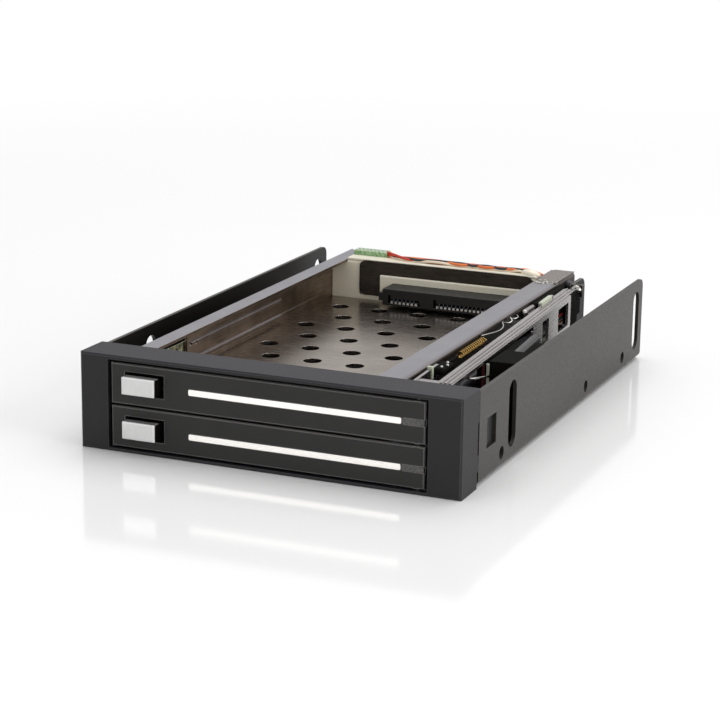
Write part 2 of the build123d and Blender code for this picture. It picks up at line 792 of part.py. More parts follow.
def make_gasket(lift):
    """Cut the dark foam that fills a window of the frame beside and above its seat."""
    low = lift + frame_window_low + frame_gap
    high = lift + frame_window_low + frame_window_height - frame_gap
    left = frame_window_left + frame_gap
    with BuildPart() as gasket:
        with BuildSketch(across(frame_back - gasket_sheet)):
            span(left, frame_window_right - frame_gap, low, high)
            span(
                seat_left - frame_gap, frame_window_right,
                low - 1, lift + frame_window_low + seat_height + frame_gap, mode=Mode.SUBTRACT,
            )
        extrude(amount=-gasket_sheet)
        fillet(gasket.edges().filter_by(Axis.Y).group_by(Axis.X)[0], radius=1.2)
    return gasket.part


# Connector frame: one moulding the width of the cage, with a window for each bay
with BuildPart() as connector_frame:
    flange_edge = cage_left + left_flange + 0.2
    frame_left = inner_left + frame_gap
    frame_right = inner_right - frame_gap
    under_flange = cage_top - sheet - frame_gap
    with BuildSketch(across(frame_front)):
        with BuildLine():
            Polyline(
                (frame_left + 0.6, cage_floor_top), (frame_right - 0.6, cage_floor_top),
                (frame_right, cage_floor_top + 0.6), (frame_right, under_flange - 0.6),
                (frame_right - 0.6, under_flange), (bracket_left - 0.2, under_flange),
                (bracket_left - 0.2, cage_top), (flange_edge, cage_top), (flange_edge, under_flange),
                (frame_left + 0.6, under_flange), (frame_left, under_flange - 0.6),
                (frame_left, cage_floor_top + 0.6), close=True,
            )
        make_face()
        for name, lift in bays:
            low = lift + frame_window_low
            span(frame_window_left, frame_window_right, low, low + frame_window_height, mode=Mode.SUBTRACT)
    extrude(amount=-frame_sheet)
    chamfer(connector_frame.faces().sort_by(Axis.Y)[0].edges().group_by(Axis.Z)[-1], length=0.6)

# Backplane board, its rear sockets and the header of the lighting lead
with BuildPart() as backplane_board:
    with BuildSketch(across(frame_back)):
        span(board_left, board_right, board_low, board_high)
        span(board_left + board_ear, board_right, lead_top - wire_d / 2, board_high + 1, mode=Mode.SUBTRACT)
        span(board_corner_x, board_right + 1, board_corner_z, board_high + 1, mode=Mode.SUBTRACT)
        with Locations((board_left + 3, board_low + 3), (board_right - 3, board_low + 3)):
            Circle(1.1, mode=Mode.SUBTRACT)
    extrude(amount=-board_sheet)


def make_socket(left, low, across_size):
    """Mould a rear socket: a shroud round a keyed tongue."""
    right = left + across_size
    mid = low + socket_height / 2
    with BuildPart() as socket:
        with BuildSketch(across(board_back)):
            span(left, right, low, low + socket_height)
        extrude(amount=-socket_reach)
        with BuildSketch(across(board_back + socket_wall)):
            span(left + socket_wall, right - socket_wall, low + socket_wall, low + socket_height - socket_wall)
        extrude(amount=socket_wall - socket_reach, mode=Mode.SUBTRACT)
        with BuildSketch(across(board_back + socket_wall)):
            span(left + 2 * socket_wall, right - 2 * socket_wall, mid - 0.6, mid + 0.5)
            span(left + 2 * socket_wall, left + 3 * socket_wall, mid - 0.6, mid + 1.0)
        extrude(amount=-(socket_reach - 2 * socket_wall))
    return socket.part


header_left = board_left + 8.0
header_width = 7.0
header_low = 18.6
header_height = 4.2
header_reach = 3.4
with BuildPart() as board_header:
    with BuildSketch(across(board_back)):
        span(header_left, header_left + header_width, header_low, header_low + header_height)
    extrude(amount=-header_reach)
    with BuildSketch(Plane.XY.offset(header_low + header_height - 2.4)):
        span(
            header_left + 0.7, header_left + header_width - 0.7,
            back(board_back + 0.7), back(board_back + header_reach - 0.7),
        )
    extrude(amount=2.4, mode=Mode.SUBTRACT)

# End bracket: closes the cage on the right, behind the end of the right wall, with a window for the lead
with BuildPart() as cage_end_bracket:
    with BuildSketch(across(bracket_front)):
        with BuildLine():
            FilletPolyline(
                (bracket_left, cage_top - half), (cage_right - half, cage_top - half),
                (cage_right - half, cage_floor_top + 0.4), radius=sheet,
            )
        trace(line_width=sheet)
    extrude(amount=bracket_front - bracket_back)
    with BuildSketch(Plane.YZ.offset(inner_right - 1)):
        span(
            back(lead_front_lane - wire_pitch), back(lead_front_lane + 3 * wire_pitch),
            lead_under - wire_pitch, lead_under + 0.75,
        )
    extrude(amount=sheet + 2, mode=Mode.SUBTRACT)

# Stop bracket: a black angle behind the slides, with an ear for its screw
stop_x = cage_right + 3.9
stop_ear_front = slide_front + slide_length + foot_plate_length + 1.6
stop_ear_low = cage_top - 3.5
stop_ear_high = cage_top + 0.2
stop_back = depth - 7.0
stop_screw_x = stop_x + 1.9
stop_screw_z = cage_top - 1.6
with BuildPart() as stop_bracket:
    with BuildSketch(Plane.YZ.offset(stop_x)):
        with BuildLine():
            Polyline(
                (back(foot_back + 1.2), cage_floor), (back(stop_back), cage_floor), (back(stop_back), stop_ear_high),
                (back(stop_ear_front), stop_ear_high), (back(stop_ear_front), stop_ear_low),
                (back(foot_back + 1.2), stop_ear_low), close=True,
            )
        make_face()
    extrude(amount=sheet)
    rounded = stop_bracket.edges().filter_by(Axis.X).group_by(Axis.Y)[-1].group_by(Axis.Z)[-1]
    fillet(rounded, radius=3.0)
    with BuildSketch(across(stop_ear_front)):
        span(stop_x, stop_screw_x + 1.9, stop_ear_low, stop_ear_high)
    extrude(amount=-sheet)
    with BuildSketch(Plane.XY.offset(cage_floor)):
        span(stop_x, stop_x + 6.5, back(foot_back + 1.2), back(stop_back))
    extrude(amount=sheet)
    with Locations((stop_screw_x, back(stop_ear_front), stop_screw_z)):
        Cylinder(0.95, 4, rotation=(90, 0, 0), mode=Mode.SUBTRACT)

# Screw of the stop bracket: a domed head with a cross recess
with BuildPart() as stop_screw:
    head_y = back(stop_ear_front)
    with BuildSketch(Plane(origin=(stop_screw_x, head_y, stop_screw_z), x_dir=(0, -1, 0), z_dir=(1, 0, 0))):
        with BuildLine():
            Polyline((-2.4, 0), (-2.4, 0.9), (0, 0.9), (0, 1.9), (0.5, 1.85), (1.0, 1.3), (1.2, 0), close=True)
        make_face()
    revolve(axis=Axis((stop_screw_x, head_y, stop_screw_z), (0, 1, 0)))
    with Locations((stop_screw_x, head_y - 1.2, stop_screw_z)):
        Box(2.0, 1.0, 0.4, mode=Mode.SUBTRACT)
        Box(0.4, 1.0, 2.0, mode=Mode.SUBTRACT)

# Slide guide: a black moulding on the right side plate that carries both slides from below
guide_front = 42.0
guide_step = 54.0
guide_back = slide_front + slide_wall_start - 10.3
guide_inner = cage_right + 7.9
guide_outer = width / 2 - plate - 0.1
with BuildPart() as slide_guide:
    with BuildSketch(Plane.YZ.offset(guide_inner)):
        with BuildLine():
            Polyline(
                (back(guide_front), cage_floor), (back(guide_back), cage_floor),
                (back(guide_back), bay_pitch + slide_low - 1.6), (back(guide_back - 5), bay_pitch + slide_low - guide_clear),
                (back(guide_front), bay_pitch + slide_low - guide_clear), close=True,
            )
        make_face()
    extrude(amount=guide_outer - guide_inner)
    chamfer(slide_guide.edges().filter_by(Axis.Y).group_by(Axis.Z)[0].sort_by(Axis.X)[-1], length=bend)
    fillet(slide_guide.edges().filter_by(Axis.Y).group_by(Axis.Z)[-1].sort_by(Axis.X)[-1], radius=3.0)
    # A channel for the lower slide, and a raised rail beside the upper one
    with BuildSketch(across(guide_front - 1)):
        span(guide_inner - 1, slide_mid + 3.2, slide_low - guide_clear, slide_top + slide_rib + 0.4)
    extrude(amount=guide_front - guide_back - 2, mode=Mode.SUBTRACT)
    with BuildSketch(across(guide_front)):
        span(slide_mid + 2.4, guide_outer, bay_pitch + slide_low - guide_clear - 3.5, bay_pitch + slide_top)
    extrude(amount=guide_front - guide_step)

# Hinge pin of both doors
with BuildPart() as hinge_pin:
    with BuildSketch(Plane.XY.offset(opening_low - 0.5)):
        with Locations((hinge_x, back(hinge_station))):
            Circle(pin_d / 2)
    extrude(amount=opening_high - opening_low + 0.95)

# Lamp board behind the right stile, with a lamp for each bay
lamp_board_front = 9.0
lamp_board_sheet = 1.0
lamp_board_right = arm_outer - 1.2
lamp_board_left = opening_right + 1.6
with BuildPart() as lamp_board:
    with BuildSketch(across(lamp_board_front)):
        span(lamp_board_left, lamp_board_right, opening_low + 2.15, opening_high - 1.6)
    extrude(amount=-lamp_board_sheet)
lamp_x = (lamp_board_left + lamp_board_right) / 2
with BuildPart() as status_lamps:
    for name, lift in bays:
        with BuildSketch(across(lamp_board_front)):
            with Locations((lamp_x, lift + strip_low + strip_height / 2)):
                Circle(1.5)
        extrude(amount=3.0)
    fillet(status_lamps.faces().group_by(Axis.Y)[0].edges(), radius=1.0)

# Lighting lead: along the top of the board, down behind the end bracket and forward beside the cage
riser_station = board_back + header_reach / 2
header_floor = header_low + header_height - 2.4
wires = {}
for place, colour in enumerate(("red", "black", "orange")):
    riser_x = header_left + header_width / 2 + (place - 1) * 1.9
    lane = back(lead_front_lane + place * wire_pitch)
    run_z = lead_low + (2 - place) * lead_stack
    with BuildPart() as wire:
        with BuildLine() as route:
            FilletPolyline(
                (riser_x, back(riser_station), header_floor), (riser_x, back(riser_station), lead_top),
                (riser_x + 3.0, lane, lead_top), (bracket_left - 5.0, lane, lead_top),
                (bracket_left + 1.0, lane, lead_under), (lead_x, lane, lead_under), (lead_x, lane, run_z),
                (lead_x, back(lead_turn), run_z), (lamp_x, back(lead_turn - 17.0), run_z),
                (lamp_x, back(lamp_board_front + lamp_board_sheet), run_z),
                radius=[1.6, 2.0, 4.0, 3.5, 1.4, 2.0 + place * wire_pitch, 8.0, 6.0],
            )
        with BuildSketch(Plane(origin=route.line @ 0, z_dir=route.line % 0)):
            RegularPolygon(wire_d / 2, 8)
        sweep(path=route.line)
    wires[colour] = wire.part

# Floor screws that hold the cage to the chassis, and their holes
floor_screw_r = 1.2
floor_head_r = 2.1
floor_screw_places = [(x, back(station)) for x in (cage_left + 8, cage_right - 8) for station in (30.0, 118.0)]


def floor_screw(shank_gap):
    """Turn a countersunk floor screw, or with a gap the hole that takes it."""
    low_end = (Align.CENTER, Align.CENTER, Align.MIN)
    with BuildPart() as screw:
        with Locations((0, 0, chassis_low)):
            Cone(floor_head_r, floor_screw_r, plate * 0.9, align=low_end)
            Cylinder(floor_screw_r + shank_gap, plate + sheet, align=low_end)
    return screw.part


with BuildPart() as floor_screws:
    with Locations(*[(x, y, 0) for x, y in floor_screw_places]):
        add(floor_screw(0))
with BuildPart() as screw_seats:
    with Locations(*[(x, y, 0) for x, y in floor_screw_places]):
        add(floor_screw(0.05))

# Rivets of the latch leaves
with BuildPart() as leaf_rivets:
    for name, lift in bays:
        for station in (wall_start + 1.6, wall_start + 4.4):
            place = (cage_left - leaf_sheet, back(station), lift + (leaf_low + leaf_high) / 2)
            with BuildSketch(Plane(origin=place, x_dir=(0, 1, 0), z_dir=(1, 0, 0))):
                Circle(rivet_r)
            extrude(amount=leaf_sheet + sheet)
            with BuildSketch(Plane(origin=place, x_dir=(0, 1, 0), z_dir=(-1, 0, 0))):
                Circle(rivet_r * 2)
            extrude(amount=0.5, taper=20)

# Screws that hold the board to the connector frame
with BuildPart() as board_screws:
    for x in (board_left + 3, board_right - 3):
        with BuildSketch(Plane(origin=(x, back(board_back), board_low + 3), x_dir=(1, 0, 0), z_dir=(0, 1, 0))):
            Circle(2.0)
        extrude(amount=1.2, taper=12)
        with BuildSketch(across(frame_back)):
            with Locations((x, board_low + 3)):
                Circle(1.05)
        extrude(amount=-board_sheet)

# Glue that holds the lead to the top of the frame, beside the end bracket
glue_x = bracket_left - 0.1
glue_station = frame_front + 2.2
with BuildPart() as glue_blob:
    with BuildSketch(Plane(origin=(glue_x, back(glue_station), cage_top), x_dir=(1, 0, 0), z_dir=(0, -1, 0))):
        with BuildLine():
            Line((-4.0, 0), (4.0, 0))
            ThreePointArc((4.0, 0), (0.4, 0.65), (-4.0, 0))
        make_face()
    revolve(axis=Axis((glue_x, back(glue_station), cage_top), (1, 0, 0)))
    with BuildSketch(Plane.XY.offset(cage_top)):
        span(glue_x - 5, glue_x + 5, back(glue_station - 3), back(glue_station + 3))
    extrude(amount=-3, mode=Mode.SUBTRACT)

keep(chassis.part - screw_seats.part, "chassis")
keep(bezel.part, "bezel")
keep(inner_cage.part - screw_seats.part, "inner_cage")
keep(drive_shelf.part, "drive_shelf")
keep(connector_frame.part, "connector_frame")
keep(backplane_board.part, "backplane_board")
keep(board_header.part, "board_header")
keep(cage_end_bracket.part, "cage_end_bracket")
keep(stop_bracket.part, "stop_bracket")
keep(stop_screw.part, "stop_screw")
keep(slide_guide.part, "slide_guide")
keep(hinge_pin.part, "hinge_pin")
keep(lamp_board.part, "lamp_board")
keep(status_lamps.part, "status_lamps")
keep(floor_screws.part, "floor_screws")
keep(leaf_rivets.part, "leaf_rivets")
keep(board_screws.part, "board_screws")
keep(glue_blob.part, "glue_blob")
keep(make_socket(cage_right - 24.7, frame_window_low + 5.75, power_socket_width), "power_socket")
for name, lift in bays:
    keep(make_socket(cage_left + 29.8, lift + connector_low + 1.3, data_socket_width), f"data_socket_{name}")
    keep(make_door(name, lift), f"door_{name}")
    keep(make_strip(lift), f"door_strip_{name}")
    keep(make_lens(lift), f"lamp_lens_{name}")
    keep(make_button(lift), f"button_{name}")
    keep(make_button_spring(lift), f"button_spring_{name}")
    keep(make_hook(lift), f"door_hook_{name}")
    keep(make_leaf(lift), f"latch_leaf_{name}")
    keep(make_crank(lift), f"door_crank_{name}")
    keep(make_slide(lift), f"ejector_slide_{name}")
    keep(make_foot(lift), f"ejector_foot_{name}")
    keep(make_tension_spring(lift), f"slide_spring_{name}")
    keep(make_seat(lift), f"connector_seat_{name}")
    keep(make_gasket(lift), f"connector_gasket_{name}")
    keep(make_connector(lift), f"drive_connector_{name}")
    keep(make_contacts(lift), f"connector_contacts_{name}")
for colour, wire_part in wires.items():
    keep(wire_part, f"lead_{colour}")
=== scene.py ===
import math
import random

import bmesh
import bpy
from mathutils import Matrix, Vector


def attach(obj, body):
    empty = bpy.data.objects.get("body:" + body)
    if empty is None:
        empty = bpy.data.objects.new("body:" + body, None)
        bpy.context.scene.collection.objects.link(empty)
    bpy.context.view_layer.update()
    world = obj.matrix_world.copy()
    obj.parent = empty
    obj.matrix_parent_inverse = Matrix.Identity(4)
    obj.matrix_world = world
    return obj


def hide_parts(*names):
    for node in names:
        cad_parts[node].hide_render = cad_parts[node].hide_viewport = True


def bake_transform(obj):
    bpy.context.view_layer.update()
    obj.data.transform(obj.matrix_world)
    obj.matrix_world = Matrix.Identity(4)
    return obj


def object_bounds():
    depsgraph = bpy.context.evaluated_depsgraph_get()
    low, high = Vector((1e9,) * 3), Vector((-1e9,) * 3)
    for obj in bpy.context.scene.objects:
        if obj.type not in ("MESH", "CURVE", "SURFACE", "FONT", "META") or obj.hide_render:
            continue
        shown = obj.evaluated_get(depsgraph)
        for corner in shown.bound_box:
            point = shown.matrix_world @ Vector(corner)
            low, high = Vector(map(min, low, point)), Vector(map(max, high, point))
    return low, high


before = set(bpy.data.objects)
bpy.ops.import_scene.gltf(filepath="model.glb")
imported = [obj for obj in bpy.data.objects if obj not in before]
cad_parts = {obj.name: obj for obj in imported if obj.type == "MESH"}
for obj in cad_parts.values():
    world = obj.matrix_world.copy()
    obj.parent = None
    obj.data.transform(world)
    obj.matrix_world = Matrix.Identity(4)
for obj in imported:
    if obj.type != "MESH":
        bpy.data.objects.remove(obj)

cadLow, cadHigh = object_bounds()
metre = 1000  # in mm, the unit of every size below that names no other
bays = {"lower": 0.0, "upper": 11.35}  # how far each bay lies above the lower one, in mm
bezelFace = -72.6  # the bezel's front face in the frame, in mm


def place(x, behind, z):  # metres in the frame, from mm across, behind the bezel's face and up
    return Vector((x, bezelFace + behind, z)) / metre


def linear(hexColour):  # an sRGB hex colour as the linear numbers that a socket takes
    parts = [int(hexColour[i:i + 2], 16) / 255 for i in (1, 3, 5)]
    return [c / 12.92 if c <= 0.04045 else ((c + 0.055) / 1.055) ** 2.4 for c in parts] + [1.0]


def addNode(tree, kind, inputs=None, **settings):
    node = tree.nodes.new(kind)
    for name, value in settings.items():
        setattr(node, name, value)
    for name, value in (inputs or {}).items():
        socket = node.inputs[name]
        if isinstance(value, bpy.types.NodeSocket):
            tree.links.new(value, socket)
        else:
            socket.default_value = value
    return node


plainLook = {  # what a finish has where it doesn't say otherwise, with sizes in mm
    "grain": (0.5, 0.5, 0.5),  # size of one grain along x, y and z
    "patch": 14,  # size of the slow changes of shade
    "fineShare": 0.5,  # how much of the change of shade comes from the fine grain
    "fineNoise": {"Detail": 3.0, "Roughness": 0.6}, "slowNoise": {"Detail": 2.0},
    "shadeRange": (0.36, 0.64),  # noise values over which one shade turns to the other
    "spread": 0.06, "dullRange": (0.3, 0.7),  # how far the roughness strays, and over which noise
    "depth": 0.03, "strength": 0.3,  # of the relief
    "round": 0.2,  # how round an edge looks
    "edgeShare": 0.6, "rimRange": (0.995, 0.9),  # how much of its painted highlight colour an edge takes
    "steep": 0.5,  # a face that points up less than this is upright
    "shader": {}}
finishes = {}


def makeFinish(name, look):  # two close colours, a grain in roughness and relief, a painted highlight along edges
    look = {**plainLook, **look}
    material = bpy.data.materials.new(name)
    material.use_nodes = True
    tree = material.node_tree
    shader = tree.nodes["Principled BSDF"]
    where = addNode(tree, "ShaderNodeTexCoord")
    stretch = addNode(tree, "ShaderNodeMapping", {
        "Vector": where.outputs["Object"], "Scale": [metre / size for size in look["grain"]]})
    fine = addNode(tree, "ShaderNodeTexNoise", {
        "Vector": stretch.outputs["Vector"], "Scale": 1.0, **look["fineNoise"]})
    slow = addNode(tree, "ShaderNodeTexNoise", {
        "Vector": where.outputs["Object"], "Scale": metre / look["patch"], **look["slowNoise"]})
    mixed = addNode(tree, "ShaderNodeMix", {
        "Factor": look["fineShare"], "A": slow.outputs["Fac"], "B": fine.outputs["Fac"]},
        data_type="FLOAT")
    shade = addNode(tree, "ShaderNodeMapRange", {
        "Value": mixed.outputs[0], "From Min": look["shadeRange"][0],
        "From Max": look["shadeRange"][1]})
    colour = addNode(tree, "ShaderNodeMix", {
        "Factor": shade.outputs["Result"], "A": linear(look["colour"]),
        "B": linear(look.get("shade", look["colour"]))}, data_type="RGBA")
    rounded = addNode(tree, "ShaderNodeBevel", {"Radius": look["round"] / metre}, samples=4)
    flat = addNode(tree, "ShaderNodeNewGeometry")
    paint = colour.outputs[2]
    if "upright" in look or "zone" in look:  # how far a face points up or down
        facing = addNode(tree, "ShaderNodeSeparateXYZ", {"Vector": flat.outputs["True Normal"]})
        level = addNode(tree, "ShaderNodeMath", {0: facing.outputs["Z"]}, operation="ABSOLUTE")
    if "upright" in look:  # painted light and shade: upright faces take colours of their own, for the light that falls on them differently from faces that point up
        mottled = addNode(tree, "ShaderNodeMix", {
            "Factor": shade.outputs["Result"], "A": linear(look["upright"]),
            "B": linear(look.get("uprightShade", look["upright"]))}, data_type="RGBA")
        uprightShaded = addNode(tree, "ShaderNodeMix", {
            "Factor": level.outputs["Value"], "A": mottled.outputs[2], "B": paint},
            data_type="RGBA")
        paint = uprightShaded.outputs[2]
    if "edge" in look:  # painted highlight: where the rounded normal leaves the face's own, the edge turns paler
        turn = addNode(tree, "ShaderNodeVectorMath", {
            0: rounded.outputs["Normal"], 1: flat.outputs["True Normal"]}, operation="DOT_PRODUCT")
        rim = addNode(tree, "ShaderNodeMapRange", {
            "Value": turn.outputs["Value"], "From Min": look["rimRange"][0],
            "From Max": look["rimRange"][1], "To Max": look["edgeShare"]})
        edgeHighlit = addNode(tree, "ShaderNodeMix", {
            "Factor": rim.outputs["Result"], "A": paint, "B": linear(look["edge"])},
            data_type="RGBA")
        paint = edgeHighlit.outputs[2]
    if "zone" in look:  # painted shade on upright faces to one side of a place across, in mm: a dark colour and less metal
        side, limit, zoneColour, zoneMetal = look["zone"]
        compare = "GREATER_THAN" if side > 0 else "LESS_THAN"
        spot = addNode(tree, "ShaderNodeSeparateXYZ", {"Vector": where.outputs["Object"]})
        within = addNode(tree, "ShaderNodeMath", {
            0: spot.outputs["X"], 1: limit / metre}, operation=compare)
        steep = addNode(tree, "ShaderNodeMath", {
            0: level.outputs["Value"], 1: look["steep"]}, operation="LESS_THAN")
        both = addNode(tree, "ShaderNodeMath", {
            0: within.outputs["Value"], 1: steep.outputs["Value"]}, operation="MULTIPLY")
        zoneShaded = addNode(tree, "ShaderNodeMix", {
            "Factor": both.outputs["Value"], "A": paint, "B": linear(zoneColour)},
            data_type="RGBA")
        paint = zoneShaded.outputs[2]
        metal = addNode(tree, "ShaderNodeMapRange", {
            "Value": both.outputs["Value"], "To Min": look["shader"]["Metallic"],
            "To Max": zoneMetal})
        tree.links.new(metal.outputs["Result"], shader.inputs["Metallic"])
    dull = addNode(tree, "ShaderNodeMapRange", {
        "Value": fine.outputs["Fac"], "From Min": look["dullRange"][0],
        "From Max": look["dullRange"][1], "To Min": look["roughness"] - look["spread"],
        "To Max": look["roughness"] + look["spread"]})
    relief = addNode(tree, "ShaderNodeBump", {
        "Height": fine.outputs["Fac"], "Normal": rounded.outputs["Normal"],
        "Strength": look["strength"], "Distance": look["depth"] / metre})
    tree.links.new(paint, shader.inputs["Base Color"])
    tree.links.new(dull.outputs["Result"], shader.inputs["Roughness"])
    tree.links.new(relief.outputs["Normal"], shader.inputs["Normal"])
    for socket, value in look["shader"].items():
        shader.inputs[socket].default_value = value
    finishes[name] = material
